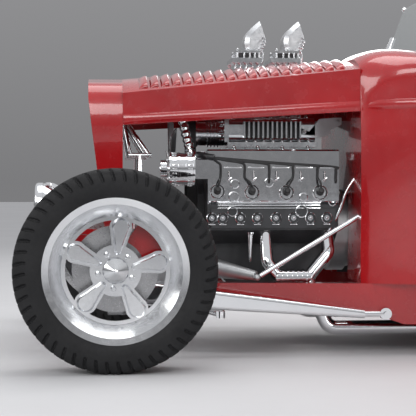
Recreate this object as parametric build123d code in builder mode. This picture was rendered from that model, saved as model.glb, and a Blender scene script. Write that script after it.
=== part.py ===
"""A fenderless roadster with an open engine bay, millimetres.

The nose points along -X, +Y is the car's right side and +Z is up.
The origin lies on the ground, under the middle of the car's length.
"""

import math
import os

from build123d import *

# Overall layout
WHEELBASE = 2692.0
NOSE_REACH = 325.0  # front axle to the foremost point, as far as the tyre reaches
TAIL_REACH = 470.0  # rear axle to the rearmost point
FRONT_X = -(NOSE_REACH + WHEELBASE + TAIL_REACH) / 2 + NOSE_REACH
REAR_X = FRONT_X + WHEELBASE
NOSE_X = FRONT_X - NOSE_REACH
TAIL_X = REAR_X + TAIL_REACH

# Wheels and tyres
FRONT_TRACK = 1400.0
REAR_TRACK = 1500.0
FRONT_TYRE_R = 325.0
REAR_TYRE_R = 360.0
FRONT_TYRE_W = 185.0
REAR_TYRE_W = 255.0
FRONT_RIM_R = 232.0
REAR_RIM_R = 245.0
LUG_PITCH_R = 57.15
LUG_NUT_R = 10.0
SPOKES = 5
SPOKE_LEAN = 7.0  # degrees that the first spoke leans from upright
SPOKE_REACH = 168.0
HUB_CAP_R = 42.0

# Frame
RAIL_WIDTH = 50.0
RAIL_TOP = 250.0
RAIL_BOTTOM = 108.0
RAIL_KICK_FRONT = 420.0  # top of the rail above the front axle
RAIL_KICK_REAR = 520.0  # top of the rail above the rear axle
RAIL_FRONT_DEPTH = 80.0
RAIL_REAR_DEPTH = 100.0
SPREADER_R = 16.0

# Front end
KINGPIN_Y = 575.0
KINGPIN_R = 11.0
AXLE_DROP = 95.0
STEER_ARM = 150.0
TIE_ROD_Z = 158.0
DRAG_LINK_Z = 122.0
ROD_R = 11.0
PITMAN_Y = 180.0
PITMAN_X = FRONT_X + 240.0
WISHBONE_Y = 425.0
WISHBONE_END_X = FRONT_X + 943.0
WISHBONE_END_Z = 146.0
DISC_R = 140.0
RUN_GAP = 0.3

# Body
FIREWALL_X = FRONT_X + 865.0
COWL_END_X = FRONT_X + 1190.0
DOOR_END_X = FRONT_X + 1800.0
DECK_X = FRONT_X + 2240.0
BODY_END_X = FRONT_X + 3090.0
HOOD_FRONT_X = FRONT_X + 33.0
PANEL = 34.0
SKIN = 5.0
DOOR_GAP = 6.0
SILL_Z = RAIL_TOP
FLOOR = 12.0

# Engine
CRANK_Z = 420.0
BLOCK_FRONT_X = FRONT_X + 336.0
BLOCK_LENGTH = 474.0
BLOCK_REAR_X = BLOCK_FRONT_X + BLOCK_LENGTH
CARB_X = (FRONT_X + 503.0, FRONT_X + 650.0)
FAN_X = FRONT_X + 222.0
FAN_Z = 650.0
FAN_R = 195.0
FAN_HUB_HALF = 22.0

SIDES = (("left", -1), ("right", 1))
parts = {}


def keep(builder, name):
    """Labels a finished piece and puts it on the list that is written at the end."""
    builder.part.label = name
    parts[name] = builder.part


def rod(start, end, radius):
    """Adds a round bar between two points to the part that is being built."""
    line = Vector(*end) - Vector(*start)
    with BuildSketch(Plane(origin=start, z_dir=line)) as section:
        Circle(radius)
    extrude(section.sketch, amount=line.length)


def plate(plane, corners, thickness, both=False):
    """Adds a flat plate with a straight-sided outline, drawn on a plane, to the part being built."""
    with BuildSketch(plane) as outline:
        with BuildLine():
            Polyline(*corners, close=True)
        make_face()
    extrude(outline.sketch, amount=thickness, both=both)


def block(low, high):
    """Adds a box between its lowest and highest corners to the part that is being built."""
    size = [b - a for a, b in zip(low, high)]
    with Locations(tuple((a + b) / 2 for a, b in zip(low, high))):
        Box(*size)


def pipe(points, radii, radius, bore=0.0):
    """Adds a round pipe along straight runs with rounded corners to the part that is being built."""
    with BuildLine() as route:
        FilletPolyline(*points, radius=radii)
    start = route.line @ 0
    with BuildSketch(Plane(origin=start, z_dir=route.line % 0)) as section:
        Circle(radius)
        if bore:
            Circle(bore, mode=Mode.SUBTRACT)
    sweep(section.sketch, path=route.line)


# Frame rails: each is its side outline and its plan outline, met
# Side stations: distance behind the front axle, top of rail, bottom of rail
KICK_FRONT_END = 170.0
KICK_REAR_START = 2150.0
RAIL_SIDE = (
    (-NOSE_REACH + 2 * SPREADER_R, RAIL_KICK_FRONT - 40.0, RAIL_KICK_FRONT - 90.0),
    (-120.0, RAIL_KICK_FRONT, RAIL_KICK_FRONT - RAIL_FRONT_DEPTH),
    (KICK_FRONT_END, RAIL_KICK_FRONT - 10.0, RAIL_KICK_FRONT - RAIL_FRONT_DEPTH - 5.0),
    (340.0, RAIL_TOP, RAIL_TOP - 40.0),
    (880.0, RAIL_TOP, RAIL_BOTTOM + 44.0),
    (1010.0, RAIL_TOP, RAIL_BOTTOM),
    (KICK_REAR_START, RAIL_TOP, RAIL_BOTTOM),
    (2480.0, RAIL_KICK_REAR - 12.0, RAIL_KICK_REAR - RAIL_REAR_DEPTH - 20.0),
    (2700.0, RAIL_KICK_REAR, RAIL_KICK_REAR - RAIL_REAR_DEPTH),
    (2900.0, RAIL_KICK_REAR - 20.0, RAIL_KICK_REAR - RAIL_REAR_DEPTH - 15.0),
    (WHEELBASE + TAIL_REACH - 2 * SPREADER_R, 450.0, 380.0),
)
# Plan stations: distance behind the front axle, outer face of the left rail
RAIL_PLAN = (
    (-NOSE_REACH, 285.0),
    (0.0, 296.0),
    (340.0, 330.0),
    (860.0, 398.0),
    (1300.0, 468.0),
    (1900.0, 505.0),
    (2350.0, 490.0),
    (2700.0, 470.0),
    (WHEELBASE + TAIL_REACH, 455.0),
)


def rail_outer(x):
    """Half-width over the rails at a place along the car."""
    behind = x - FRONT_X
    for (x0, y0), (x1, y1) in zip(RAIL_PLAN, RAIL_PLAN[1:]):
        if behind <= x1:
            return y0 + (y1 - y0) * (behind - x0) / (x1 - x0)
    return RAIL_PLAN[-1][1]


def rail_bracket(sign, along, inner, heights):
    """Adds a block that reaches outwards to the inner face of a rail to the part being built."""
    near, far = (rail_outer(x) - RAIL_WIDTH for x in along)
    corners = [(along[0], inner), (along[0], near), (along[1], far), (along[1], inner)]
    with BuildSketch(Plane.XY.offset(heights[0])) as base:
        Polygon(*[(x, sign * y) for x, y in corners], align=None)
    extrude(base.sketch, amount=heights[1] - heights[0])


with BuildPart() as frame_rails:
    tops = [(FRONT_X + x, top) for x, top, bottom in RAIL_SIDE]
    bottoms = [(FRONT_X + x, bottom) for x, top, bottom in reversed(RAIL_SIDE)]
    plate(Plane.XZ, tops + bottoms, RAIL_PLAN[-1][1] * 2, both=True)
    with BuildSketch(Plane.XY) as plan:
        for sign in (-1, 1):
            outer = [(FRONT_X + x, sign * y) for x, y in RAIL_PLAN]
            inner = [(FRONT_X + x, sign * (y - RAIL_WIDTH)) for x, y in reversed(RAIL_PLAN)]
            Polygon(*outer, *inner, align=None)
    extrude(plan.sketch, amount=2 * RAIL_KICK_REAR, both=True, mode=Mode.INTERSECT)
keep(frame_rails, "frame_rails")

# Cross-members between the rails: distance behind the axle, centre height, depth, length along the car
CROSS_MEMBERS = (
    (0.0, RAIL_KICK_FRONT - 35.0, 50.0, 70.0),
    (1180.0, RAIL_BOTTOM + 40.0, 50.0, 70.0),
    (1760.0, RAIL_BOTTOM + 45.0, 50.0, 60.0),
    (2536.0, RAIL_KICK_REAR - 50.0, 60.0, 60.0),
)
with BuildPart() as cross_members:
    for x, z, depth, length in CROSS_MEMBERS:
        near = rail_outer(FRONT_X + x - length / 2) - RAIL_WIDTH
        far = rail_outer(FRONT_X + x + length / 2) - RAIL_WIDTH
        with BuildSketch(Plane.XY.offset(z - depth / 2)) as member:
            with BuildLine():
                Polyline(
                    (FRONT_X + x - length / 2, -near),
                    (FRONT_X + x + length / 2, -far),
                    (FRONT_X + x + length / 2, far),
                    (FRONT_X + x - length / 2, near),
                    close=True,
                )
            make_face()
        extrude(member.sketch, amount=depth)
    add(frame_rails.part, mode=Mode.SUBTRACT)
keep(cross_members, "cross_members")

with BuildPart() as spreader_bars:
    for x, z in (
        (NOSE_X + SPREADER_R, RAIL_KICK_FRONT - 65.0),
        (TAIL_X - SPREADER_R, 415.0),
    ):
        reach = rail_outer(x)
        rod((x, -reach, z), (x, reach, z), SPREADER_R)
keep(spreader_bars, "spreader_bars")

# Front axle: a dropped beam with pockets in both faces and an upright pin at each end
BEAM_DEPTH = 54.0
BEAM_WIDTH = 50.0
BEAM_FLANGE = 11.0
BEAM_WEB = 16.0
PIN_EYE_R = 26.0
PIN_EYE_H = 54.0
BEAM_Z = FRONT_TYRE_R - AXLE_DROP
BEND_Y = 470.0
PIN_SPARE = 30.0  # how far the kingpin stands out of its eye, above and below


def beam_outline(half_depth, reach):
    """The beam's upper and lower line, seen from the front, as corners going round."""
    upper = [(reach, FRONT_TYRE_R), (KINGPIN_Y - 35, FRONT_TYRE_R), (BEND_Y, BEAM_Z)]
    top = [(y, z + half_depth) for y, z in upper]
    bottom = [(y - (6 if z == FRONT_TYRE_R else 18), z - half_depth) for y, z in upper]
    right = top + [(-y, z) for y, z in reversed(top)]
    left = [(-y, z) for y, z in bottom] + list(reversed(bottom))
    return right + left


with BuildPart() as front_axle:
    beam = Plane.YZ.offset(FRONT_X)
    plate(beam, beam_outline(BEAM_DEPTH / 2, KINGPIN_Y), BEAM_WIDTH / 2, both=True)
    for face in (1, -1):
        with BuildSketch(beam.offset(face * BEAM_WIDTH / 2)) as pocket:
            with BuildLine():
                Polyline(*beam_outline(BEAM_DEPTH / 2 - BEAM_FLANGE, KINGPIN_Y - PIN_EYE_R), close=True)
            make_face()
        extrude(pocket.sketch, amount=-face * (BEAM_WIDTH - BEAM_WEB) / 2, mode=Mode.SUBTRACT)
    for sign in (-1, 1):
        with Locations((FRONT_X, sign * KINGPIN_Y, FRONT_TYRE_R)):
            Cylinder(PIN_EYE_R, PIN_EYE_H)
            Cylinder(KINGPIN_R, PIN_EYE_H + 2 * PIN_SPARE)
keep(front_axle, "front_axle")

# Transverse leaf spring: a stack of arched leaves under the front cross-member, on two shackles
SPRING_TOP = CROSS_MEMBERS[0][1] - CROSS_MEMBERS[0][2] / 2
LEAF = 7.0
LEAF_WIDTH = 44.0
LEAVES = 6
SPRING_REACH = 400.0
SPRING_DROP = 78.0
SPRING_R = (SPRING_REACH**2 + SPRING_DROP**2) / (2 * SPRING_DROP)


def spring_arc(radius, reach):
    """A leaf's upper or lower arc, about the centre that all the leaves share."""
    half = math.asin(reach / SPRING_R)
    centre = SPRING_TOP - SPRING_R
    tip = (radius * math.sin(half), centre + radius * math.cos(half))
    return ThreePointArc((-tip[0], tip[1]), (0, centre + radius), tip)


with BuildPart() as front_spring:
    with BuildSketch(Plane.YZ.offset(FRONT_X)) as leaves:
        for i in range(LEAVES):
            with BuildLine():
                upper = spring_arc(SPRING_R - i * LEAF, SPRING_REACH * (1 - 0.14 * i))
                lower = spring_arc(SPRING_R - (i + 1) * LEAF, SPRING_REACH * (1 - 0.14 * i))
                Line(upper @ 0, lower @ 0)
                Line(upper @ 1, lower @ 1)
            make_face()
    extrude(leaves.sketch, amount=LEAF_WIDTH / 2, both=True)
    for sign in (-1, 1):
        eye = (FRONT_X - LEAF_WIDTH / 2, sign * SPRING_REACH, SPRING_TOP - SPRING_DROP - LEAF / 2)
        rod(eye, (eye[0] + LEAF_WIDTH, eye[1], eye[2]), 10.0)
        for face in (-1, 1):
            plate(
                Plane.YZ.offset(FRONT_X + face * (LEAF_WIDTH / 2 + 1.5)),
                [
                    (sign * (SPRING_REACH - 11), eye[2] + 11),
                    (sign * (SPRING_REACH + 14), eye[2] + 11),
                    (sign * (WISHBONE_Y + 6), BEAM_Z + BEAM_DEPTH / 2),
                    (sign * (WISHBONE_Y - 20), BEAM_Z + BEAM_DEPTH / 2),
                ],
                1.5,
                both=True,
            )
keep(front_spring, "front_spring")

# Split wishbones: tapered arms from a fork over the axle to a joint on each rail
FORK_X = FRONT_X + BEAM_WIDTH / 2
FORK_HALF = 43.0
FORK_WIDTH = 28.0
ARM_END_R = 15.0
ARM_END_WIDTH = 26.0
ARM_END = 75.0  # end of the tapered arm, ahead of the joint
THREAD_R = 10.0
JOINT_R = 21.0
JOINT_WIDTH = 18.0
JOINT_PIN_R = 8.0
with BuildPart() as wishbones:
    for sign in (-1, 1):
        for x, half_height, width, z in (
            (FORK_X, FORK_HALF, FORK_WIDTH, BEAM_Z),
            (WISHBONE_END_X - ARM_END, ARM_END_R, ARM_END_WIDTH, WISHBONE_END_Z),
        ):
            with BuildSketch(Plane.YZ.offset(x)):
                with Locations((sign * WISHBONE_Y, z)):
                    RectangleRounded(width, 2 * half_height, width / 2 - 1)
        loft()
        joint = (WISHBONE_END_X, sign * WISHBONE_Y, WISHBONE_END_Z)
        thread = [(joint[0] - back, joint[1], joint[2]) for back in (ARM_END + 1, JOINT_R / 2)]
        rod(*thread, THREAD_R)
        with Locations(Location(joint, (90, 0, 0))):
            Cylinder(JOINT_R, JOINT_WIDTH)
        rod(
            (joint[0], sign * (rail_outer(joint[0]) - JOINT_PIN_R), joint[2]),
            (joint[0], sign * (WISHBONE_Y + JOINT_WIDTH), joint[2]),
            JOINT_PIN_R,
        )
    add(frame_rails.part, mode=Mode.SUBTRACT)
keep(wishbones, "wishbones")

# Steering knuckles: a yoke round the axle's end, a stub axle and an arm behind for the tie rod
SPINDLE_R = 19.0
RUN_FIT = 0.08
YOKE_GAP = 5.0
YOKE_THICK = 20.0
YOKE_R = 24.0
YOKE_BACK = 42.0  # pin to the yoke's web, outwards
MOUNT_FACE = 20.0  # wheel's middle to the face that it bolts to, outwards
SPINDLE_END = MOUNT_FACE + 24.0
ARM_HEIGHT = 16.0
ARM_LIFT = 14.0  # tie rod's middle to the underside of the arm that it hangs on
ARM_EYE_R = 15.0
WEB_THICK = 12.0
POST_THICK = 26.0
PIN_R = 7.0
YOKE_Z = PIN_EYE_H / 2 + YOKE_GAP
WHEEL_Y = FRONT_TRACK / 2
CALIPER_ANGLE = 55.0  # degrees behind upright
DISC_THICK = 22.0
DISC_IN = 52.0  # wheel's middle to the disc's middle, inwards

for side, sign in SIDES:
    pin = (FRONT_X, sign * KINGPIN_Y)
    arm_pin = (FRONT_X + STEER_ARM, sign * KINGPIN_Y)
    web_y = sign * (KINGPIN_Y + YOKE_BACK)
    with BuildPart() as knuckle:
        for low in (FRONT_TYRE_R + YOKE_Z, FRONT_TYRE_R - YOKE_Z - YOKE_THICK):
            with BuildSketch(Plane.XY.offset(low)) as yoke:
                with Locations(pin):
                    Circle(YOKE_R)
                with Locations((FRONT_X, sign * (KINGPIN_Y + YOKE_BACK / 2))):
                    Rectangle(2 * YOKE_R, YOKE_BACK)
            extrude(yoke.sketch, amount=YOKE_THICK)
        block(
            (FRONT_X - YOKE_R, min(web_y, web_y - sign * WEB_THICK), FRONT_TYRE_R - YOKE_Z - YOKE_THICK),
            (FRONT_X + YOKE_R, max(web_y, web_y - sign * WEB_THICK), FRONT_TYRE_R + YOKE_Z + YOKE_THICK),
        )
        rod(
            (FRONT_X, web_y - sign * WEB_THICK / 2, FRONT_TYRE_R),
            (FRONT_X, sign * (WHEEL_Y + SPINDLE_END), FRONT_TYRE_R),
            SPINDLE_R,
        )
        with BuildSketch(Plane.XY.offset(TIE_ROD_Z + ARM_LIFT)) as arm:
            with BuildLine():
                Polyline(
                    (FRONT_X - YOKE_R, sign * (KINGPIN_Y + 14)),
                    (FRONT_X - YOKE_R, sign * (KINGPIN_Y + YOKE_BACK)),
                    (FRONT_X + YOKE_R, sign * (KINGPIN_Y + YOKE_BACK)),
                    (arm_pin[0], arm_pin[1] + sign * ARM_EYE_R),
                    (arm_pin[0], arm_pin[1] - sign * ARM_EYE_R),
                    (FRONT_X + 60, sign * (KINGPIN_Y - 8)),
                    close=True,
                )
            make_face()
            with Locations(arm_pin):
                Circle(ARM_EYE_R)
        extrude(arm.sketch, amount=ARM_HEIGHT)
        block(
            (FRONT_X - YOKE_R, min(web_y, web_y - sign * POST_THICK), TIE_ROD_Z + ARM_LIFT),
            (FRONT_X + YOKE_R, max(web_y, web_y - sign * POST_THICK), FRONT_TYRE_R - YOKE_Z - 2),
        )
        with Locations((*pin, FRONT_TYRE_R)):
            Cylinder(KINGPIN_R + RUN_FIT, 400, mode=Mode.SUBTRACT)
        with Locations((*arm_pin, TIE_ROD_Z)):
            Cylinder(PIN_R + RUN_FIT, 4 * ARM_HEIGHT, mode=Mode.SUBTRACT)
        caliper_x = FRONT_X + DISC_R * math.sin(math.radians(CALIPER_ANGLE))
        caliper_z = FRONT_TYRE_R + DISC_R * math.cos(math.radians(CALIPER_ANGLE))
        plate(
            Plane(origin=(FRONT_X, web_y, FRONT_TYRE_R), x_dir=(1, 0, 0), z_dir=(0, -1, 0)),
            [(0, 30), (caliper_x - FRONT_X - 34, 84), (caliper_x - FRONT_X + 6, 26), (10, -30)],
            7.0 * sign,
        )
    keep(knuckle, f"knuckle_{side}")

    with BuildPart() as caliper:
        disc_y = sign * (WHEEL_Y - DISC_IN)
        face = Plane(origin=(FRONT_X, disc_y, FRONT_TYRE_R), x_dir=(1, 0, 0), z_dir=(0, -1, 0))
        middle = 90 - CALIPER_ANGLE
        with BuildSketch(face) as shoe:
            with BuildLine():
                outer_arc = CenterArc((0, 0), DISC_R + 22, middle - 28, 56)
                inner_arc = CenterArc((0, 0), DISC_R - 46, middle - 34, 68)
                Line(outer_arc @ 0, inner_arc @ 0)
                Line(outer_arc @ 1, inner_arc @ 1)
            make_face()
            fillet(shoe.vertices(), 9)
        extrude(shoe.sketch, amount=DISC_THICK / 2 + 20, both=True)
        with BuildSketch(face) as slot:
            Circle(DISC_R + 6)
        extrude(slot.sketch, amount=DISC_THICK / 2 + 5, both=True, mode=Mode.SUBTRACT)
    keep(caliper, f"caliper_{side}")

# Steering linkage: tie rod and drag link, which move together, and the arm below the steering box
BALL_R = 17.0
BALL_HALF = 12.5
PITMAN_Z = DRAG_LINK_Z + BALL_HALF + 2.5
PITMAN_THICK = 15.0
PITMAN_HUB_R = 22.0
PITMAN_EYE_R = 14.0
SECTOR_R = 14.0
PIN_HEAD = 4.0
DRAG_PIN_X = PITMAN_X + STEER_ARM
with BuildPart() as tie_rod:
    for sign in (-1, 1):
        eye = (FRONT_X + STEER_ARM, sign * KINGPIN_Y)
        rod((*eye, TIE_ROD_Z - BALL_HALF), (*eye, TIE_ROD_Z + BALL_HALF), BALL_R)
        rod((*eye, TIE_ROD_Z), (*eye, TIE_ROD_Z + ARM_LIFT + ARM_HEIGHT + PIN_HEAD), PIN_R)
    rod(
        (FRONT_X + STEER_ARM, -KINGPIN_Y, TIE_ROD_Z),
        (FRONT_X + STEER_ARM, KINGPIN_Y, TIE_ROD_Z),
        ROD_R,
    )
    rod(
        (FRONT_X + STEER_ARM, KINGPIN_Y, TIE_ROD_Z),
        (FRONT_X + STEER_ARM, KINGPIN_Y, DRAG_LINK_Z),
        PIN_R,
    )
keep(tie_rod, "tie_rod")

with BuildPart() as drag_link:
    ends = ((DRAG_PIN_X, -PITMAN_Y), (FRONT_X + STEER_ARM, KINGPIN_Y))
    rod((*ends[0], DRAG_LINK_Z), (*ends[1], DRAG_LINK_Z), ROD_R)
    for x, y in ends:
        rod((x, y, DRAG_LINK_Z - BALL_HALF), (x, y, DRAG_LINK_Z + BALL_HALF), BALL_R)
    with Locations((*ends[1], DRAG_LINK_Z + BALL_HALF)):
        Cylinder(PIN_R + RUN_FIT, 4 * BALL_HALF, mode=Mode.SUBTRACT)
    rod((*ends[0], DRAG_LINK_Z), (*ends[0], PITMAN_Z + PITMAN_THICK + PIN_HEAD), PIN_R)
keep(drag_link, "drag_link")

with BuildPart() as pitman_arm:
    with BuildSketch(Plane.XY.offset(PITMAN_Z)) as arm:
        with BuildLine():
            Polyline(
                (PITMAN_X, -PITMAN_Y - PITMAN_HUB_R),
                (DRAG_PIN_X, -PITMAN_Y - PITMAN_EYE_R),
                (DRAG_PIN_X, -PITMAN_Y + PITMAN_EYE_R),
                (PITMAN_X, -PITMAN_Y + PITMAN_HUB_R),
                close=True,
            )
        make_face()
        with Locations((PITMAN_X, -PITMAN_Y)):
            Circle(PITMAN_HUB_R)
        with Locations((DRAG_PIN_X, -PITMAN_Y)):
            Circle(PITMAN_EYE_R)
    extrude(arm.sketch, amount=PITMAN_THICK)
    with Locations((DRAG_PIN_X, -PITMAN_Y, PITMAN_Z)):
        Cylinder(PIN_R + RUN_FIT, 100, mode=Mode.SUBTRACT)
    with Locations((PITMAN_X, -PITMAN_Y, PITMAN_Z)):
        Cylinder(SECTOR_R + RUN_FIT, 100, mode=Mode.SUBTRACT)
keep(pitman_arm, "pitman_arm")

# Steering box on the left rail, its column up through the firewall and the steering wheel
BOX_Z = (PITMAN_Z + PITMAN_THICK + 6, 350.0)
BOX_X = (PITMAN_X - 48, PITMAN_X + 60)
BOX_INNER = PITMAN_Y - 42
SNOUT_R = (44.0, 17.0)
SNOUT_START = (BOX_X[1] - 2, -PITMAN_Y - 10, BOX_Z[1] - SNOUT_R[0])
JOINT_BALL = 12.0
JOINT_X = FRONT_X + 505.0
JOINT_Z = RAIL_TOP + JOINT_BALL + 6.0
COLUMN_Y = -330.0
COLUMN_SLOPE = 30.6
COLUMN_R = 9.0
JACKET_R = 20.0
HUB_BACK = 40.0  # hand wheel's middle back to the end of the column
JACKET = 320.0
HAND_WHEEL_R = 190.0
HAND_RIM = 24.0
HAND_WHEEL_X = FRONT_X + 1440.0
column_dir = Vector(math.cos(math.radians(COLUMN_SLOPE)), 0, math.sin(math.radians(COLUMN_SLOPE)))
COLUMN_LENGTH = (HAND_WHEEL_X - JOINT_X) / column_dir.X
column_foot = Vector(JOINT_X, COLUMN_Y, JOINT_Z)
column_top = column_foot + column_dir * COLUMN_LENGTH
with BuildPart() as steering_box:
    rail_bracket(-1, BOX_X, BOX_INNER, BOX_Z)
    fillet(steering_box.edges().filter_by(Axis.Z), 12)
    rod((PITMAN_X, -PITMAN_Y, PITMAN_Z - 10), (PITMAN_X, -PITMAN_Y, BOX_Z[0] + 5), SECTOR_R)
    snout = column_foot - Vector(*SNOUT_START)
    tip = column_foot - snout.normalized() * JOINT_BALL / 2 + Vector(0, 0, SNOUT_R[1] - JOINT_BALL)
    with BuildSketch(Plane(origin=SNOUT_START, z_dir=snout)) as snout_root:
        Circle(SNOUT_R[0])
    with BuildSketch(Plane(origin=tip, z_dir=snout)) as snout_tip:
        Circle(SNOUT_R[1])
    loft(sections=[snout_root.sketch, snout_tip.sketch])
    with Locations(tuple(column_foot)):
        Sphere(JOINT_BALL)
keep(steering_box, "steering_box")

with BuildPart() as steering_column:
    column_end = tuple(column_top - column_dir * HUB_BACK)
    rod(tuple(column_foot + column_dir * (JOINT_BALL + RUN_GAP)), column_end, COLUMN_R)
    rod(tuple(column_top - column_dir * JACKET), column_end, JACKET_R)
keep(steering_column, "steering_column")

with BuildPart() as steering_wheel:
    wheel_plane = Plane(origin=column_top, x_dir=(0, 1, 0), z_dir=column_dir)
    with BuildSketch(wheel_plane) as hand_rim:
        Circle(HAND_WHEEL_R)
        Circle(HAND_WHEEL_R - HAND_RIM, mode=Mode.SUBTRACT)
    extrude(hand_rim.sketch, amount=HAND_RIM / 2, both=True)
    chamfer(steering_wheel.edges().filter_by(GeomType.CIRCLE), 7)
    with BuildSketch(wheel_plane) as hand_spokes:
        for spoke in range(3):
            angle = math.radians(90 + 120 * spoke)
            with Locations((HAND_WHEEL_R / 2 * math.cos(angle), HAND_WHEEL_R / 2 * math.sin(angle))):
                Rectangle(HAND_WHEEL_R - HAND_RIM + 4, 26, rotation=90 + 120 * spoke)
    extrude(hand_spokes.sketch, amount=3, both=True)
    rod(tuple(column_top - column_dir * (HUB_BACK - RUN_GAP)), tuple(column_top + column_dir * 6), 34)
keep(steering_wheel, "steering_wheel")

# Road wheels: rim, plate with windows, raised spokes, nuts and cap; tyre; disc or drum behind
RIM_WALL = 9.0
BEAD_DROP = 16.0  # rim's lip down to the bead seat
LIP_STEP = 59.0  # rim's lip in to the wheel's plate
PLATE_THICK = 14.0
PLATE_FACE = MOUNT_FACE + PLATE_THICK
SPOKE_RISE = 15.0
WINDOW_IN = 82.0
WINDOW_OUT = 160.0
SPOKE_TIP_R = 29.0
SPOKE_ROOT_R = 12.0
SPOKE_ROOT = 62.0
CAP_RISE = 44.0


def tyre_section(width, outer, bead):
    """Half of a tyre's outline, as arcs: bead, bulging wall, shoulder and tread."""
    half = width / 2
    wall = (outer + bead) / 2
    with BuildLine() as outline:
        left = ThreePointArc((-half + 14, bead), (-half, wall), (-half + 22, outer - 13))
        shoulder = ThreePointArc(left @ 1, (-half + 28, outer - 6), (-half + 40, outer - 2.5))
        tread = ThreePointArc(shoulder @ 1, (0, outer), (half - 40, outer - 2.5))
        turn = ThreePointArc(tread @ 1, (half - 28, outer - 6), (half - 22, outer - 13))
        right = ThreePointArc(turn @ 1, (half, wall), (half - 14, bead))
        Line(right @ 1, left @ 0)
    make_face(outline.line)


def spoke_outline(grow):
    """Five petals, each wide and round at its tip and narrow at its root."""
    for spoke in range(SPOKES):
        turn = math.radians(90 - SPOKE_LEAN + 360 / SPOKES * spoke)
        along = (math.cos(turn), math.sin(turn))
        across = (-along[1], along[0])
        reach = SPOKE_REACH - SPOKE_TIP_R
        corners = []
        for distance, half in (
            (SPOKE_ROOT, SPOKE_ROOT_R + grow),
            (reach, SPOKE_TIP_R + grow),
            (reach, -SPOKE_TIP_R - grow),
            (SPOKE_ROOT, -SPOKE_ROOT_R - grow),
        ):
            corners.append((along[0] * distance + across[0] * half, along[1] * distance + across[1] * half))
        Polygon(*corners, align=None)
        with Locations((along[0] * reach, along[1] * reach)):
            Circle(SPOKE_TIP_R + grow)
        with Locations((along[0] * SPOKE_ROOT, along[1] * SPOKE_ROOT)):
            Circle(SPOKE_ROOT_R + grow)


def road_wheel(centre, sign, width, rim_r, tyre_r):
    """Builds one corner's wheel and tyre, the wheel's face outwards."""
    axis = Axis(centre, (0, 1, 0))
    cross = Plane(origin=centre, x_dir=(0, sign, 0), z_dir=(sign, 0, 0))
    face = Plane(origin=centre, x_dir=(-sign, 0, 0), z_dir=(0, sign, 0))
    half = width / 2 - 8
    seat = rim_r - BEAD_DROP
    plate_r = rim_r - LIP_STEP
    with BuildPart() as wheel:
        with BuildSketch(cross) as rim:
            with BuildLine():
                Polyline(
                    (-half, seat - RIM_WALL),
                    (-half, rim_r),
                    (-half + 6, rim_r),
                    (-half + 10, seat),
                    (half - 10, seat),
                    (half - 6, rim_r),
                    (half, rim_r),
                    (half - 4, seat - RIM_WALL + 4),
                    (PLATE_FACE + 6, plate_r),
                    (PLATE_FACE - PLATE_THICK, plate_r),
                    (PLATE_FACE - PLATE_THICK - 30, seat - RIM_WALL),
                    close=True,
                )
            make_face()
        revolve(rim.sketch, axis=axis)
        with BuildSketch(face.offset(MOUNT_FACE)) as disc:
            Circle(plate_r + 3)
            Circle(WINDOW_OUT, mode=Mode.SUBTRACT)
            Circle(WINDOW_IN)
            spoke_outline(7)
            Circle(SPINDLE_R + RUN_FIT, mode=Mode.SUBTRACT)
        extrude(disc.sketch, amount=PLATE_THICK)
        with BuildSketch(face.offset(PLATE_FACE)) as spokes:
            spoke_outline(0)
        extrude(spokes.sketch, amount=SPOKE_RISE, taper=24)
        with BuildSketch(face.offset(PLATE_FACE)) as nuts:
            with PolarLocations(LUG_PITCH_R, SPOKES, start_angle=90 - SPOKE_LEAN + 180 / SPOKES):
                Circle(LUG_NUT_R)
        extrude(nuts.sketch, amount=22, taper=12)
        with BuildSketch(cross) as cap:
            with BuildLine():
                Polyline(
                    (PLATE_FACE, 0),
                    (PLATE_FACE + CAP_RISE, 0),
                    (PLATE_FACE + CAP_RISE - 2, 6),
                    (PLATE_FACE + 16, HUB_CAP_R - 3),
                    (PLATE_FACE + 10, HUB_CAP_R),
                    (PLATE_FACE, HUB_CAP_R),
                    close=True,
                )
            make_face()
        revolve(cap.sketch, axis=axis)
        with BuildSketch(face.offset(MOUNT_FACE)) as bore:
            Circle(SPINDLE_R + RUN_FIT)
        extrude(bore.sketch, amount=SPINDLE_END - MOUNT_FACE + 4, mode=Mode.SUBTRACT)
    with BuildPart() as tyre:
        with BuildSketch(cross) as section:
            tyre_section(width, tyre_r, seat + RUN_GAP)
        revolve(section.sketch, axis=axis)
        with BuildSketch(cross) as lips:
            for end in (-1, 1):
                with Locations((end * (half - 4), rim_r - BEAD_DROP / 2)):
                    Rectangle(13, BEAD_DROP + 2)
        revolve(lips.sketch, axis=axis, mode=Mode.SUBTRACT)
    return wheel, tyre


HAT_R = 68.0
for end, x, track, width, rim_r, tyre_r in (
    ("front", FRONT_X, FRONT_TRACK, FRONT_TYRE_W, FRONT_RIM_R, FRONT_TYRE_R),
    ("rear", REAR_X, REAR_TRACK, REAR_TYRE_W, REAR_RIM_R, REAR_TYRE_R),
):
    for side, sign in SIDES:
        centre = (x, sign * track / 2, tyre_r)
        wheel, tyre = road_wheel(centre, sign, width, rim_r, tyre_r)
        keep(wheel, f"wheel_{end}_{side}")
        keep(tyre, f"tyre_{end}_{side}")

for side, sign in SIDES:
    centre = (FRONT_X, sign * FRONT_TRACK / 2, FRONT_TYRE_R)
    with BuildPart() as disc:
        with BuildSketch(Plane(origin=centre, x_dir=(0, sign, 0), z_dir=(sign, 0, 0))) as section:
            Polygon(
                (-DISC_IN - DISC_THICK / 2, SPINDLE_R + RUN_FIT),
                (-DISC_IN - DISC_THICK / 2, DISC_R),
                (-DISC_IN + DISC_THICK / 2, DISC_R),
                (-DISC_IN + DISC_THICK / 2, HAT_R),
                (MOUNT_FACE, HAT_R),
                (MOUNT_FACE, SPINDLE_R + RUN_FIT),
                align=None,
            )
        revolve(section.sketch, axis=Axis(centre, (0, 1, 0)))
    keep(disc, f"brake_disc_{side}")

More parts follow.
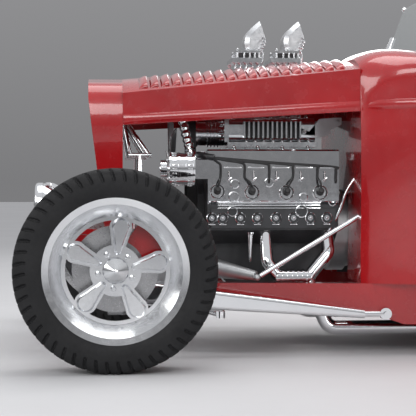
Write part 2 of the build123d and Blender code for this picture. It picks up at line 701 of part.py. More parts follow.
# Rear axle: a housing with a round middle, half shafts to the wheels, coil-over struts and links
TUBE_R = 38.0
PUMPKIN_R = 130.0
STRUT_X = REAR_X + 75.0
STRUT_Y = 330.0
STRUT_TOP = RAIL_KICK_REAR - 60.0
LINK_END_X = FRONT_X + 2060.0
LINK_Y = 400.0
LINK_Z = 190.0
HALF_SHAFT_END = REAR_TRACK / 2 + SPINDLE_END
with BuildPart() as rear_axle:
    rod((REAR_X, -HALF_SHAFT_END, REAR_TYRE_R), (REAR_X, HALF_SHAFT_END, REAR_TYRE_R), SPINDLE_R)
    rod((REAR_X, -620, REAR_TYRE_R), (REAR_X, 620, REAR_TYRE_R), TUBE_R)
    with BuildSketch(Plane.XZ) as pumpkin:
        with Locations((REAR_X, REAR_TYRE_R)):
            Circle(PUMPKIN_R)
    extrude(pumpkin.sketch, amount=62, both=True)
    rod((REAR_X - 210, 0, REAR_TYRE_R), (REAR_X, 0, REAR_TYRE_R), 52)
    for sign in (-1, 1):
        drum_out = REAR_TRACK / 2 + MOUNT_FACE - 6
        rod((REAR_X, sign * 600, REAR_TYRE_R), (REAR_X, sign * (drum_out - 60), REAR_TYRE_R), TUBE_R)
        rod((REAR_X, sign * (drum_out - 70), REAR_TYRE_R), (REAR_X, sign * drum_out, REAR_TYRE_R), DISC_R)
        block(
            (REAR_X - 45, sign * LINK_Y - 14, REAR_TYRE_R - 105),
            (REAR_X + 45, sign * LINK_Y + 14, REAR_TYRE_R + 45),
        )
        block(
            (REAR_X - 20, sign * STRUT_Y - 12, REAR_TYRE_R - 100),
            (REAR_X + 34, sign * STRUT_Y + 12, REAR_TYRE_R),
        )
        block(
            (REAR_X, sign * STRUT_Y - 12, REAR_TYRE_R - 100),
            (STRUT_X + 14, sign * STRUT_Y + 12, REAR_TYRE_R - 60),
        )
keep(rear_axle, "rear_axle")

COILS = 6
COIL_R = 27.0
COIL_WIRE = 5.0
COIL_PITCH = 17.0
with BuildPart() as rear_struts:
    for sign in (-1, 1):
        foot = (STRUT_X, sign * STRUT_Y, REAR_TYRE_R - 60)
        head = (STRUT_X, sign * STRUT_Y, STRUT_TOP)
        rod(foot, head, 13)
        for coil in range(COILS):
            with Locations((STRUT_X, sign * STRUT_Y, foot[2] + 22 + coil * COIL_PITCH)):
                Torus(COIL_R, COIL_WIRE)
        rod((foot[0], foot[1], foot[2] + 14), (head[0], head[1], head[2] - 30), COIL_R - COIL_WIRE + 2)
        reach = rail_outer(STRUT_X) - RAIL_WIDTH - 0.7
        block(
            (STRUT_X - 16, min(sign * reach, sign * (STRUT_Y - 16)), STRUT_TOP - 8),
            (STRUT_X + 16, max(sign * reach, sign * (STRUT_Y - 16)), STRUT_TOP + 18),
        )
keep(rear_struts, "rear_struts")

with BuildPart() as rear_links:
    for sign in (-1, 1):
        inner = rail_outer(LINK_END_X) - RAIL_WIDTH - 0.8
        for z in (REAR_TYRE_R - 80, REAR_TYRE_R + 20):
            rod((REAR_X - 50, sign * LINK_Y, z), (LINK_END_X, sign * (LINK_Y + 25), LINK_Z), 14)
        rod((LINK_END_X, sign * (LINK_Y + 5), LINK_Z), (LINK_END_X, sign * inner, LINK_Z), 20)
keep(rear_links, "rear_links")

# Engine: block with its pan, two heads, gearbox and propeller shaft
BLOCK_SIDE = 250.0
HEAD_SIDE = 262.0
HEAD_SEAT = 524.0
HEAD_TOP = 722.0
VALLEY = (135.0, 690.0)  # inner edge of each head's seat: distance from the middle, height
VALLEY_FLOOR = 625.0
VALLEY_HALF = 70.0
SIDE_PLATE_Z = (440.0, 508.0)
PAN_BOTTOM = 190.0
NOSE_PLATE = 25.0
MOUNT_X = (FRONT_X + 490.0, FRONT_X + 550.0)
MOUNT_Z = 200.0
CRANK_PULLEY_R = 85.0
BELT_X = BLOCK_FRONT_X - 60.0
BELT_W = 34.0
with BuildPart() as engine_block:
    block_plane = Plane.YZ.offset(BLOCK_FRONT_X)
    half_block = [
        (VALLEY_HALF, VALLEY_FLOOR),
        VALLEY,
        (BLOCK_SIDE, HEAD_SEAT),
        (BLOCK_SIDE, 432),
        (165, 380),
    ]
    plate(block_plane, half_block + [(-y, z) for y, z in reversed(half_block)], BLOCK_LENGTH)
    with BuildSketch(Plane.XZ) as pan:
        with BuildLine():
            Polyline(
                (BLOCK_FRONT_X + 6, 382),
                (BLOCK_FRONT_X + 6, 320),
                (BLOCK_FRONT_X + 120, PAN_BOTTOM),
                (BLOCK_REAR_X - 90, PAN_BOTTOM),
                (BLOCK_REAR_X - 40, 320),
                (BLOCK_REAR_X - 6, 320),
                (BLOCK_REAR_X - 6, 382),
                close=True,
            )
        make_face()
    extrude(pan.sketch, amount=130, both=True)
    plate(
        block_plane,
        [(-110, 340), (-110, 560), (-70, 690), (70, 690), (110, 560), (110, 340)],
        -NOSE_PLATE,
    )
    rod((BELT_X - 8, 0, CRANK_Z), (BLOCK_FRONT_X, 0, CRANK_Z), CRANK_PULLEY_R - 8)
    rod((FAN_X + FAN_HUB_HALF, 0, FAN_Z), (BLOCK_FRONT_X, 0, FAN_Z), 32)
    for sign in (-1, 1):
        rail_bracket(sign, MOUNT_X, 120.0, (MOUNT_Z, MOUNT_Z + 24))
        block(
            (BLOCK_FRONT_X + 12, min(sign * BLOCK_SIDE, sign * HEAD_SIDE), SIDE_PLATE_Z[0]),
            (BLOCK_REAR_X - 12, max(sign * BLOCK_SIDE, sign * HEAD_SIDE), SIDE_PLATE_Z[1]),
        )
keep(engine_block, "engine_block")

with BuildPart() as cylinder_heads:
    for sign in (-1, 1):
        outline = [
            (BLOCK_SIDE, HEAD_SEAT),
            (HEAD_SIDE, HEAD_SEAT + 14),
            (HEAD_SIDE, HEAD_TOP - 6),
            (HEAD_SIDE - 10, HEAD_TOP),
            (VALLEY[0] + 18, HEAD_TOP),
            VALLEY,
        ]
        plate(block_plane, [(sign * y, z) for y, z in outline], BLOCK_LENGTH)
keep(cylinder_heads, "cylinder_heads")

# Supercharger on the valley, with its drive snout, belt, two carburettors and their scoops
BLOWER_X = (FRONT_X + 425.0, FRONT_X + 747.0)
BLOWER_Z = (752.0, 842.0)
BLOWER_HALF = 128.0
FINS = 13
FIN_PITCH = 17.3
FIN_THICK = 6.0
FIN_RISE = 12.0
FIN_EDGE = 14.0  # end of the fins, in from the top and the bottom of the case
BLOWER_PULLEY_R = 58.0
BLOWER_DRIVE_Z = 786.0
CARB_HALF_X = 52.0
CARB_HALF_Y = 70.0
CARB_BASE_Z = (1050.0, 1066.0)
CARB_BASE_X = (-62.0, 48.0)
CARB_BASE_Y = 88.0
CARB_TOP_Z = (1086.0, 1094.0)
CARB_TOP_HALF = (46.0, 82.0)
CARB_NECK_HALF = (38.0, 70.0)
SCOOP_TOP = 1208.0
SCOOP_HALF = 62.0
HOLE_EASE = 9.0
with BuildPart() as supercharger:
    block((BLOWER_X[0], -VALLEY_HALF, VALLEY_FLOOR), (BLOWER_X[1], VALLEY_HALF, BLOWER_Z[0]))
    block((BLOWER_X[0] - 6, -145, BLOWER_Z[0] - 18), (BLOWER_X[1] + 6, 145, BLOWER_Z[0]))
    with BuildSketch(Plane.YZ.offset(BLOWER_X[0])) as case:
        with Locations((0, (BLOWER_Z[0] + BLOWER_Z[1]) / 2)):
            RectangleRounded(2 * BLOWER_HALF, BLOWER_Z[1] - BLOWER_Z[0], 26)
    extrude(case.sketch, amount=BLOWER_X[1] - BLOWER_X[0])
    block((BLOWER_X[0] + 20, -95, BLOWER_Z[1] - 30), (BLOWER_X[1] - 20, 95, BLOWER_Z[1]))
    case_middle = ((BLOWER_X[0] + BLOWER_X[1]) / 2, 0, (BLOWER_Z[0] + BLOWER_Z[1]) / 2)
    with Locations(case_middle):
        with GridLocations(FIN_PITCH, 1, FINS, 1):
            Box(FIN_THICK, 2 * (BLOWER_HALF + FIN_RISE), BLOWER_Z[1] - BLOWER_Z[0] - 2 * FIN_EDGE)
    block((BLOWER_X[0] - 16, -BLOWER_HALF - 4, BLOWER_Z[0]), (BLOWER_X[0], BLOWER_HALF + 4, BLOWER_Z[1]))
    rod((BELT_X - 8, 0, BLOWER_DRIVE_Z), (BLOWER_X[0], 0, BLOWER_DRIVE_Z), 44)
    rod((BELT_X - 8, 0, BLOWER_DRIVE_Z), (BELT_X + BELT_W + 8, 0, BLOWER_DRIVE_Z), BLOWER_PULLEY_R - 8)
keep(supercharger, "supercharger")

with BuildPart() as drive_belt:
    for half, grow, mode in ((BELT_W / 2, 0.0, Mode.ADD), (BELT_W, -8.0, Mode.SUBTRACT)):
        with BuildSketch(Plane.YZ.offset(BELT_X + BELT_W / 2)) as loop:
            with Locations((0, CRANK_Z)):
                Circle(CRANK_PULLEY_R + grow)
            with Locations((0, BLOWER_DRIVE_Z)):
                Circle(BLOWER_PULLEY_R + grow)
            slant = math.asin((CRANK_PULLEY_R - BLOWER_PULLEY_R) / (BLOWER_DRIVE_Z - CRANK_Z))
            low = (CRANK_PULLEY_R + grow) * math.cos(slant)
            high = (BLOWER_PULLEY_R + grow) * math.cos(slant)
            low_z = CRANK_Z + (CRANK_PULLEY_R + grow) * math.sin(slant)
            high_z = BLOWER_DRIVE_Z + (BLOWER_PULLEY_R + grow) * math.sin(slant)
            Polygon((-low, low_z), (low, low_z), (high, high_z), (-high, high_z), align=None)
        extrude(loop.sketch, amount=half, both=True, mode=mode)
keep(drive_belt, "drive_belt")

with BuildPart() as carburettors:
    for x in CARB_X:
        block(
            (x - CARB_HALF_X, -CARB_HALF_Y, BLOWER_Z[1]),
            (x + CARB_HALF_X, CARB_HALF_Y, CARB_BASE_Z[0]),
        )
        block(
            (x + CARB_BASE_X[0], -CARB_BASE_Y, CARB_BASE_Z[0]),
            (x + CARB_BASE_X[1], CARB_BASE_Y, CARB_BASE_Z[1]),
        )
        block(
            (x - CARB_NECK_HALF[0], -CARB_NECK_HALF[1], CARB_BASE_Z[1]),
            (x + CARB_NECK_HALF[0], CARB_NECK_HALF[1], CARB_TOP_Z[0]),
        )
        block(
            (x - CARB_TOP_HALF[0], -CARB_TOP_HALF[1], CARB_TOP_Z[0]),
            (x + CARB_TOP_HALF[0], CARB_TOP_HALF[1], CARB_TOP_Z[1]),
        )
keep(carburettors, "carburettors")

# Scoop seen from the side: along the car from the carburettor's middle, share of the scoop's height
SCOOP_FRONT = ((0.0, 0.0), (-9.0, 0.25), (-2.0, 0.56), (16.0, 0.76), (46.0, 1.0))
SCOOP_BACK = ((72.0, 0.30), (62.0, 0.18), (63.0, 0.06), (54.0, 0.0))
# The sunk side window under the dome, with the same measures
SCOOP_WINDOW = ((6.0, 0.0), (36.0, 0.12), (36.0, 0.26), (58.0, 0.46), (80.0, 0.30), (62.0, 0.0))
WINDOW_SINK = 12.0
SCOOP_ROUND = 16.0


def scoop_points(x, corners):
    """Places of a scoop's side view over the carburettor at x."""
    height = SCOOP_TOP - CARB_TOP_Z[1]
    return [(x + along, CARB_TOP_Z[1] + share * height) for along, share in corners]


with BuildPart() as air_scoops:
    for x in CARB_X:
        with BuildSketch(Plane.XZ) as side_view:
            with BuildLine():
                dome = Spline(*scoop_points(x, SCOOP_FRONT))
                Polyline(dome @ 1, *scoop_points(x, SCOOP_BACK), dome @ 0)
            make_face()
        extrude(side_view.sketch, amount=SCOOP_HALF, both=True)
    for side_face in air_scoops.faces().filter_by(Plane.XZ):
        chamfer(side_face.edges().filter_by(GeomType.BSPLINE), SCOOP_ROUND)
    for x in CARB_X:
        for sign in (-1, 1):
            with BuildSketch(Plane.XZ.offset(sign * SCOOP_HALF)) as window:
                Polygon(*scoop_points(x, SCOOP_WINDOW), align=None)
            extrude(window.sketch, amount=-sign * WINDOW_SINK, mode=Mode.SUBTRACT)
keep(air_scoops, "air_scoops")

# Exhaust: on each side two pipes from under the block meet in a short ribbed run above the rail, and one pipe
# goes down from there and under the floor to the tail
HEADER_Y = 280.0
HEADER_R = 23.0
HEADER_BEND = 30.0
RUN_X = (FRONT_X + 575.0, FRONT_X + 702.0)
RUN_Z = 264.0
RUN_R = 27.0
RIB_RISE = 3.0
RIBS = 7
# Pipes: distance behind the front axle, from the middle, and up
HEADER_ROUTES = (
    ((548.0, 222.0, 430.0), (548.0, 276.0, 318.0), (590.0, HEADER_Y, RUN_Z), (612.0, HEADER_Y, RUN_Z)),
    ((770.0, 222.0, 430.0), (770.0, 270.0, 352.0), (706.0, HEADER_Y, 278.0), (690.0, HEADER_Y, RUN_Z - 20.0)),
)
UNDER_Z = 82.0
DOWN_X = (FRONT_X + 706.0, FRONT_X + 768.0)
DOWN_Z = 222.0
MUFFLER_X = (FRONT_X + 1380.0, FRONT_X + 1690.0)
MUFFLER_R = 44.0
TAIL_PIPE_Z = 190.0
TAIL_PIPE_R = 25.0
HANGER_R = 9.0
down_slope = (DOWN_X[1] - DOWN_X[0]) / (DOWN_Z - UNDER_Z)
with BuildPart() as exhaust_headers:
    for sign in (-1, 1):
        for route in HEADER_ROUTES:
            pipe([(FRONT_X + x, sign * y, z) for x, y, z in route], HEADER_BEND, HEADER_R)
        rod((RUN_X[0], sign * HEADER_Y, RUN_Z), (RUN_X[1], sign * HEADER_Y, RUN_Z), RUN_R)
        for rib in range(RIBS):
            x = RUN_X[0] + (rib + 0.5) * (RUN_X[1] - RUN_X[0]) / RIBS
            rod((x - 4, sign * HEADER_Y, RUN_Z), (x + 4, sign * HEADER_Y, RUN_Z), RUN_R + RIB_RISE)
        rod(
            (DOWN_X[0] - down_slope * (RUN_Z - DOWN_Z), sign * HEADER_Y, RUN_Z),
            (DOWN_X[0], sign * HEADER_Y, DOWN_Z),
            TAIL_PIPE_R + 2,
        )
    add(engine_block.part, mode=Mode.SUBTRACT)
keep(exhaust_headers, "exhaust_headers")

with BuildPart() as exhaust_pipes:
    for sign in (-1, 1):
        pipe(
            [
                (DOWN_X[0], sign * HEADER_Y, DOWN_Z),
                (DOWN_X[1], sign * HEADER_Y, UNDER_Z),
                (FRONT_X + 2250, sign * HEADER_Y, UNDER_Z),
                (FRONT_X + 2480, sign * HEADER_Y, TAIL_PIPE_Z),
                (TAIL_X - 90, sign * HEADER_Y, TAIL_PIPE_Z),
            ],
            45.0,
            TAIL_PIPE_R,
        )
        rod((MUFFLER_X[0], sign * HEADER_Y, UNDER_Z), (MUFFLER_X[1], sign * HEADER_Y, UNDER_Z), MUFFLER_R)
        for x, z, depth, length in CROSS_MEMBERS[1:3]:
            rod((FRONT_X + x, sign * HEADER_Y, UNDER_Z), (FRONT_X + x, sign * HEADER_Y, z - depth / 2), HANGER_R)
keep(exhaust_pipes, "exhaust_pipes")

# Gearbox and propeller shaft
GEARBOX_END = FRONT_X + 1330.0
SHAFT_START_Z = 396.0
with BuildPart() as gearbox:
    rod((BLOCK_REAR_X, 0, CRANK_Z), (BLOCK_REAR_X + 60, 0, CRANK_Z), 150)
    with BuildSketch(Plane.YZ.offset(BLOCK_REAR_X + 55)) as bell:
        with Locations((0, CRANK_Z)):
            Circle(140)
    with BuildSketch(Plane.YZ.offset(BLOCK_REAR_X + 220)) as waist:
        with Locations((0, CRANK_Z - 14)):
            Circle(92)
    with BuildSketch(Plane.YZ.offset(GEARBOX_END)) as tail:
        with Locations((0, SHAFT_START_Z)):
            Circle(58)
    loft(sections=[bell.sketch, waist.sketch, tail.sketch], ruled=True)
    rod((GEARBOX_END - 5, 0, SHAFT_START_Z), (REAR_X - 211.5, 0, REAR_TYRE_R), 34)
    member = CROSS_MEMBERS[1]
    block(
        (FRONT_X + member[0] - 30, -40, member[1] + member[2] / 2),
        (FRONT_X + member[0] + 30, 40, SHAFT_START_Z),
    )
keep(gearbox, "gearbox")

# Alternator on a bracket from the left head, and the fan on the pump's nose
ALTERNATOR_Y = -272.0
ALTERNATOR_X = (FRONT_X + 196.0, FRONT_X + 286.0)
ALTERNATOR_R = 58.0
with BuildPart() as alternator:
    rod((ALTERNATOR_X[0], ALTERNATOR_Y, FAN_Z), (ALTERNATOR_X[1], ALTERNATOR_Y, FAN_Z), ALTERNATOR_R)
    rod((ALTERNATOR_X[0] - 34, ALTERNATOR_Y, FAN_Z), (ALTERNATOR_X[0], ALTERNATOR_Y, FAN_Z), 12)
    rod((ALTERNATOR_X[0] - 30, ALTERNATOR_Y, FAN_Z), (ALTERNATOR_X[0] - 8, ALTERNATOR_Y, FAN_Z), 32)
    block((ALTERNATOR_X[1] - 4, -HEAD_SIDE, FAN_Z - 34), (BLOCK_FRONT_X, -HEAD_SIDE + 44, FAN_Z + 34))
keep(alternator, "alternator")

FAN_BLADES = 6
FAN_HUB_R = 40.0
BLADE_WIDTH = 62.0
BLADE_THICK = 4.0
BLADE_PITCH = 22.0  # degrees that a blade is turned out of the fan's plane
BLADE_ROOT = 16.0
with BuildPart() as cooling_fan:
    rod((FAN_X - FAN_HUB_HALF, 0, FAN_Z), (FAN_X + FAN_HUB_HALF - RUN_GAP, 0, FAN_Z), FAN_HUB_R)
    for blade in range(FAN_BLADES):
        angle = math.radians(360 / FAN_BLADES * blade + 15)
        outwards = Vector(0, math.cos(angle), math.sin(angle))
        around = Vector(0, -math.sin(angle), math.cos(angle))
        tilt = math.radians(BLADE_PITCH)
        normal = Vector(math.cos(tilt), 0, 0) + around * math.sin(tilt)
        with BuildSketch(Plane(origin=(FAN_X, 0, FAN_Z), x_dir=outwards, z_dir=normal)) as vane:
            with Locations(((FAN_R + BLADE_ROOT) / 2, 0)):
                RectangleRounded(FAN_R - BLADE_ROOT, BLADE_WIDTH, 12)
        extrude(vane.sketch, amount=BLADE_THICK / 2, both=True)
keep(cooling_fan, "cooling_fan")

# Nose: radiator with its stays and hose, shell, bars and lamps
SHELL_FRONT_TOP = FRONT_X - 88.0
SHELL_FRONT_FOOT = FRONT_X - 26.0
SHELL_FOOT = RAIL_KICK_FRONT - 10.0
SHELL_TOP = 988.0
SHELL_CREASE = 920.0
SHELL_HALF = 270.0
SHELL_FOOT_HALF = 205.0
SHELL_RIM = 34.0
RADIATOR_X = (FRONT_X - 10.0, FRONT_X + 28.0)
RADIATOR_HALF = 165.0


def shell_outline(inset):
    """Half of the nose opening's outline, from the foot up to the middle of the top."""
    return [
        (SHELL_FOOT_HALF - inset, SHELL_FOOT + inset),
        (SHELL_FOOT_HALF + 38 - inset, SHELL_FOOT + 150),
        (SHELL_HALF - 4 - inset, SHELL_CREASE - 190),
        (SHELL_HALF - inset, SHELL_CREASE - 60 - inset / 2),
        (SHELL_HALF - 40 - inset, SHELL_CREASE + 24 - inset),
        (SHELL_HALF / 2 - inset / 2, SHELL_TOP - 18 - inset),
        (0.0, SHELL_TOP - inset),
    ]


def nose_solid(inset):
    """Adds the nose form, cut straight across at the back, to the part that is being built."""
    half = shell_outline(inset)
    with BuildSketch(Plane.YZ.offset(SHELL_FRONT_TOP - 20)) as front_view:
        with BuildLine() as edge:
            Spline(*half, *[(-y, z) for y, z in reversed(half[:-1])])
            Line((-half[0][0], half[0][1]), half[0])
        make_face(edge.line)
    extrude(front_view.sketch, amount=HOOD_FRONT_X - SHELL_FRONT_TOP + 20)


with BuildPart() as nose_inside:
    nose_solid(SHELL_RIM)

with BuildPart() as grille_shell:
    nose_solid(0.0)
    add(nose_inside.part, mode=Mode.SUBTRACT)
    with BuildSketch(Plane.XZ) as slant:
        with BuildLine():
            Polyline(
                (SHELL_FRONT_TOP, SHELL_TOP + 10),
                (SHELL_FRONT_TOP, SHELL_CREASE - 20),
                (SHELL_FRONT_FOOT, SHELL_FOOT - 10),
                (HOOD_FRONT_X, SHELL_FOOT - 10),
                (HOOD_FRONT_X, SHELL_TOP + 10),
                close=True,
            )
        make_face()
    extrude(slant.sketch, amount=SHELL_HALF * 2, both=True, mode=Mode.INTERSECT)
keep(grille_shell, "grille_shell")

BAR_PITCH = 24.0
with BuildPart() as grille_bars:
    for step in range(-8, 9):
        y = step * BAR_PITCH
        rod((SHELL_FRONT_FOOT + 6, y, SHELL_FOOT), (SHELL_FRONT_TOP + 24, y, SHELL_TOP), 4)
    for share in (0.25, 0.5, 0.75):
        z = SHELL_FOOT + share * (SHELL_TOP - SHELL_FOOT)
        x = SHELL_FRONT_FOOT + 6 + share * (SHELL_FRONT_TOP + 18 - SHELL_FRONT_FOOT)
        rod((x, -SHELL_HALF, z), (x, SHELL_HALF, z), 5)
    add(nose_inside.part, mode=Mode.INTERSECT)
keep(grille_bars, "grille_bars")

STAY_TOP = 850.0
with BuildPart() as radiator:
    block(
        (RADIATOR_X[0], -RADIATOR_HALF, SHELL_FOOT + SHELL_RIM),
        (RADIATOR_X[1], RADIATOR_HALF, STAY_TOP),
    )
    block(
        (RADIATOR_X[0] - 4, -RADIATOR_HALF + 20, STAY_TOP),
        (RADIATOR_X[1] + 6, RADIATOR_HALF - 20, SHELL_CREASE - 20),
    )
keep(radiator, "radiator")

STAY_FOOT_Z = 700.0
STAY_FOOT_Y = 232.0
STAY_SPREAD = (62.0, 128.0)
STAY_R = 8.0
with BuildPart() as radiator_stays:
    for sign in (-1, 1):
        head = (RADIATOR_X[1] + STAY_R, sign * (RADIATOR_HALF - 4), STAY_TOP - 12)
        for x in STAY_SPREAD:
            rod(head, (FRONT_X + x, sign * STAY_FOOT_Y, STAY_FOOT_Z), STAY_R)
        tie = [(FRONT_X + x, sign * STAY_FOOT_Y, STAY_FOOT_Z) for x in (STAY_SPREAD[0] - 8, STAY_SPREAD[1] + 8)]
        rod(*tie, STAY_R + 1)
        rod((RADIATOR_X[1], head[1], head[2]), (head[0] + STAY_R, head[1], head[2]), STAY_R + 4)
        post_x = FRONT_X + sum(STAY_SPREAD) / 2
        rod((post_x, sign * STAY_FOOT_Y, STAY_FOOT_Z), (post_x, sign * 278, RAIL_KICK_FRONT - 5.5), STAY_R + 1)
keep(radiator_stays, "radiator_stays")

# Hose from the top tank over the fan and down to the left head
HOSE_R = 19.0
HOSE_TOP = (-120.0, 880.0)
HOSE_FOOT = (-175.0, 690.0)
HOSE_BEND = 40.0
with BuildPart() as radiator_hose:
    pipe(
        [
            (RADIATOR_X[1] + 6, *HOSE_TOP),
            (FAN_X + 18, *HOSE_TOP),
            (FAN_X + 66, *HOSE_FOOT),
            (BLOCK_FRONT_X, *HOSE_FOOT),
        ],
        HOSE_BEND,
        HOSE_R,
    )
keep(radiator_hose, "radiator_hose")

LAMP_X = FRONT_X - 256.0
LAMP_Y = 372.0
LAMP_Z = 523.0
LAMP_R = 78.0
LAMP_DEPTH = 96.0
LAMP_BAR_Z = 366.0
with BuildPart() as headlamps:
    for sign in (-1, 1):
        with BuildSketch(Plane.XZ.offset(-sign * LAMP_Y)) as bowl:
            with BuildLine() as profile:
                Polyline((LAMP_X + LAMP_DEPTH, LAMP_Z), (LAMP_X, LAMP_Z), (LAMP_X, LAMP_Z + LAMP_R))
                Line((LAMP_X, LAMP_Z + LAMP_R), (LAMP_X + 22, LAMP_Z + LAMP_R))
                Spline(
                    (LAMP_X + 22, LAMP_Z + LAMP_R),
                    (LAMP_X + LAMP_DEPTH * 0.62, LAMP_Z + LAMP_R * 0.72),
                    (LAMP_X + LAMP_DEPTH, LAMP_Z),
                )
            make_face(profile.line)
        revolve(bowl.sketch, axis=Axis((LAMP_X, sign * LAMP_Y, LAMP_Z), (1, 0, 0)))
        pipe(
            [
                (LAMP_X + 46, sign * LAMP_Y, LAMP_Z - 30),
                (LAMP_X + 46, sign * LAMP_Y, LAMP_BAR_Z),
                (LAMP_X + 46, sign * (rail_outer(LAMP_X + 46) + 0.6), LAMP_BAR_Z),
            ],
            30.0,
            12.0,
        )
keep(headlamps, "headlamps")

# Hood top: a folded panel from the nose to the cowl, with two holes for the carburettors
HOOD_EDGE = (807.0, 854.0)
HOOD_CREASE = (920.0, 1003.0)
HOOD_CROWN = (988.0, 1058.0)
HOOD_HALF = (270.0, 370.0)


def hood_solid(inset, overrun):
    """Adds the hood's form to the part that is being built, straight from front to back."""
    views = []
    for end, x in enumerate((HOOD_FRONT_X - overrun, FIREWALL_X + overrun)):
        with BuildSketch(Plane.YZ.offset(x)) as view:
            with BuildLine() as edge:
                half = HOOD_HALF[end] - inset
                foot = (half, HOOD_EDGE[end] - overrun)
                crease = (half - 2, HOOD_CREASE[end] - inset)
                Line((-foot[0], foot[1]), foot)
                Line(foot, crease)
                ThreePointArc(crease, (0, HOOD_CROWN[end] - inset), (-crease[0], crease[1]))
                Line((-crease[0], crease[1]), (-foot[0], foot[1]))
            make_face(edge.line)
        views.append(view.sketch)
    loft(sections=views, ruled=True)


with BuildPart() as hood_inside:
    hood_solid(SKIN, 30.0)

with BuildPart() as hood_top:
    hood_solid(0.0, 0.0)
    add(hood_inside.part, mode=Mode.SUBTRACT)
    with Locations(*[(x, 0, HOOD_CROWN[1]) for x in CARB_X]):
        Box(2 * (CARB_HALF_X + HOLE_EASE), 2 * (CARB_HALF_Y + HOLE_EASE), 300, mode=Mode.SUBTRACT)
keep(hood_top, "hood_top")

# Body: one form, parted into cowl, doors, rear body and deck lid where the real panels meet
# Stations: distance behind the front axle, half-widths low, halfway and at the belt, belt and crown heights
BODY_STATIONS = (
    (865.0, 392.0, 386.0, 372.0, 1003.0, 1058.0),
    (1190.0, 500.0, 528.0, 540.0, 1008.0, 1072.0),
    (1800.0, 556.0, 588.0, 602.0, 1000.0, 1052.0),
    (2240.0, 562.0, 592.0, 602.0, 990.0, 1036.0),
    (2600.0, 538.0, 570.0, 580.0, 958.0, 1000.0),
    (2900.0, 480.0, 508.0, 514.0, 880.0, 918.0),
    (3040.0, 425.0, 446.0, 446.0, 784.0, 816.0),
    (3090.0, 390.0, 404.0, 398.0, 716.0, 742.0),
)
BODY_LOW = 160.0
# Underside: distance behind the front axle, height; it follows the tops of the rails
UNDERSIDE = (
    (840.0, SILL_Z),
    (KICK_REAR_START, SILL_Z),
    (2480.0, RAIL_KICK_REAR - 12.0),
    (2700.0, RAIL_KICK_REAR),
    (3120.0, RAIL_KICK_REAR),
)


def body_solid(inset, first, last):
    """Adds the closed body form between two stations to the part that is being built."""
    views = []
    for x, low, mid, belt, belt_z, crown in BODY_STATIONS[first:last]:
        with BuildSketch(Plane.YZ.offset(FRONT_X + x)) as view:
            with BuildLine() as edge:
                half = [
                    (low - inset, BODY_LOW),
                    (mid - inset, (BODY_LOW + belt_z) / 2 + 40),
                    (belt - inset, belt_z - 70 - inset / 2),
                    (belt - 14 - inset, belt_z - 6 - inset),
                    (belt * 0.82 - inset, belt_z + 0.52 * (crown - belt_z) - inset),
                    (belt * 0.42 - inset / 2, belt_z + 0.90 * (crown - belt_z) - inset),
                    (0.0, crown - inset),
                ]
                Spline(*half, *[(-y, z) for y, z in reversed(half[:-1])])
                Line((-half[0][0], half[0][1]), half[0])
            make_face(edge.line)
        views.append(view.sketch)
    loft(sections=views)


def underside_cut(grow=0.0):
    """Takes away what hangs below the body's underside from the part that is being built."""
    low = [(FRONT_X + 840.0, 0.0)]
    line = [(FRONT_X + x, z + grow) for x, z in UNDERSIDE]
    with BuildSketch(Plane.XZ) as below:
        with BuildLine() as edge:
            Polyline(*low, *line, (FRONT_X + 3120.0, 0.0), close=True)
        make_face(edge.line)
    extrude(below.sketch, amount=900, both=True, mode=Mode.SUBTRACT)


with BuildPart() as body_outer:
    body_solid(0.0, 0, 8)
    underside_cut()
with BuildPart() as body_inner:
    body_solid(PANEL, 0, 8)
    underside_cut(PANEL)

# Openings and parting lines of the body
FIREWALL_THICK = 20.0
DOOR_FOOT = SILL_Z + 75.0
COCKPIT_CUT_Z = 900.0
DOOR_HINGE_Y = 556.0
DOOR_HINGE_X = COWL_END_X + DOOR_GAP / 2
DOOR_HINGE_Z = (480.0, 860.0)
HINGE_PIN_R = 6.0
HINGE_EYE_R = 12.0
HINGE_H = 30.0
LID_X = (FRONT_X + 2400.0, FRONT_X + 2985.0)
LID_HALF = 380.0
LID_HINGE_X = LID_X[0] - DOOR_GAP / 2
LID_HINGE_Y = (-220.0, 220.0)
LID_HINGE_Z = 1034.0
TUNNEL_HALF = (152.0, 95.0)
TUNNEL_TOP = (576.0, 470.0)
TUNNEL_NECK_X = GEARBOX_END
TUNNEL_END_X = FRONT_X + 2430.0
# Inside plan: place along the car, half-width
COCKPIT_PLAN = ((COWL_END_X, 494.0), (DOOR_END_X, 553.0), (DECK_X, 546.0))
FLOOR_PLAN = (
    (FIREWALL_X + FIREWALL_THICK, 340.0),
    (COWL_END_X, 462.0),
    (DOOR_END_X, 528.0),
    (FRONT_X + KICK_REAR_START, 528.0),
)


def plan_prism(plan, bottom, top, mode=Mode.ADD):
    """Stands an upright prism on a plan that is the same on both sides of the car."""
    near = list(plan)
    far = [(x, -y) for x, y in reversed(near)]
    with BuildSketch(Plane.XY.offset(bottom)) as base:
        Polygon(*near, *far, align=None)
    extrude(base.sketch, amount=top - bottom, mode=mode)


def tunnel_form(shrink):
    """Adds the tunnel over the gearbox and the shaft to the part that is being built."""
    ends = (
        (FIREWALL_X + FIREWALL_THICK - shrink, TUNNEL_HALF[0], TUNNEL_TOP[0]),
        (TUNNEL_NECK_X, TUNNEL_HALF[1], TUNNEL_TOP[1]),
        (TUNNEL_END_X + shrink, TUNNEL_HALF[1], TUNNEL_TOP[1]),
    )
    views = []
    for x, half, top in ends:
        with BuildSketch(Plane.YZ.offset(x)) as view:
            wide = half - shrink
            Polygon((-wide, 0), (wide, 0), (wide, top - shrink), (-wide, top - shrink), align=None)
        views.append(view.sketch)
    loft(sections=views, ruled=True)


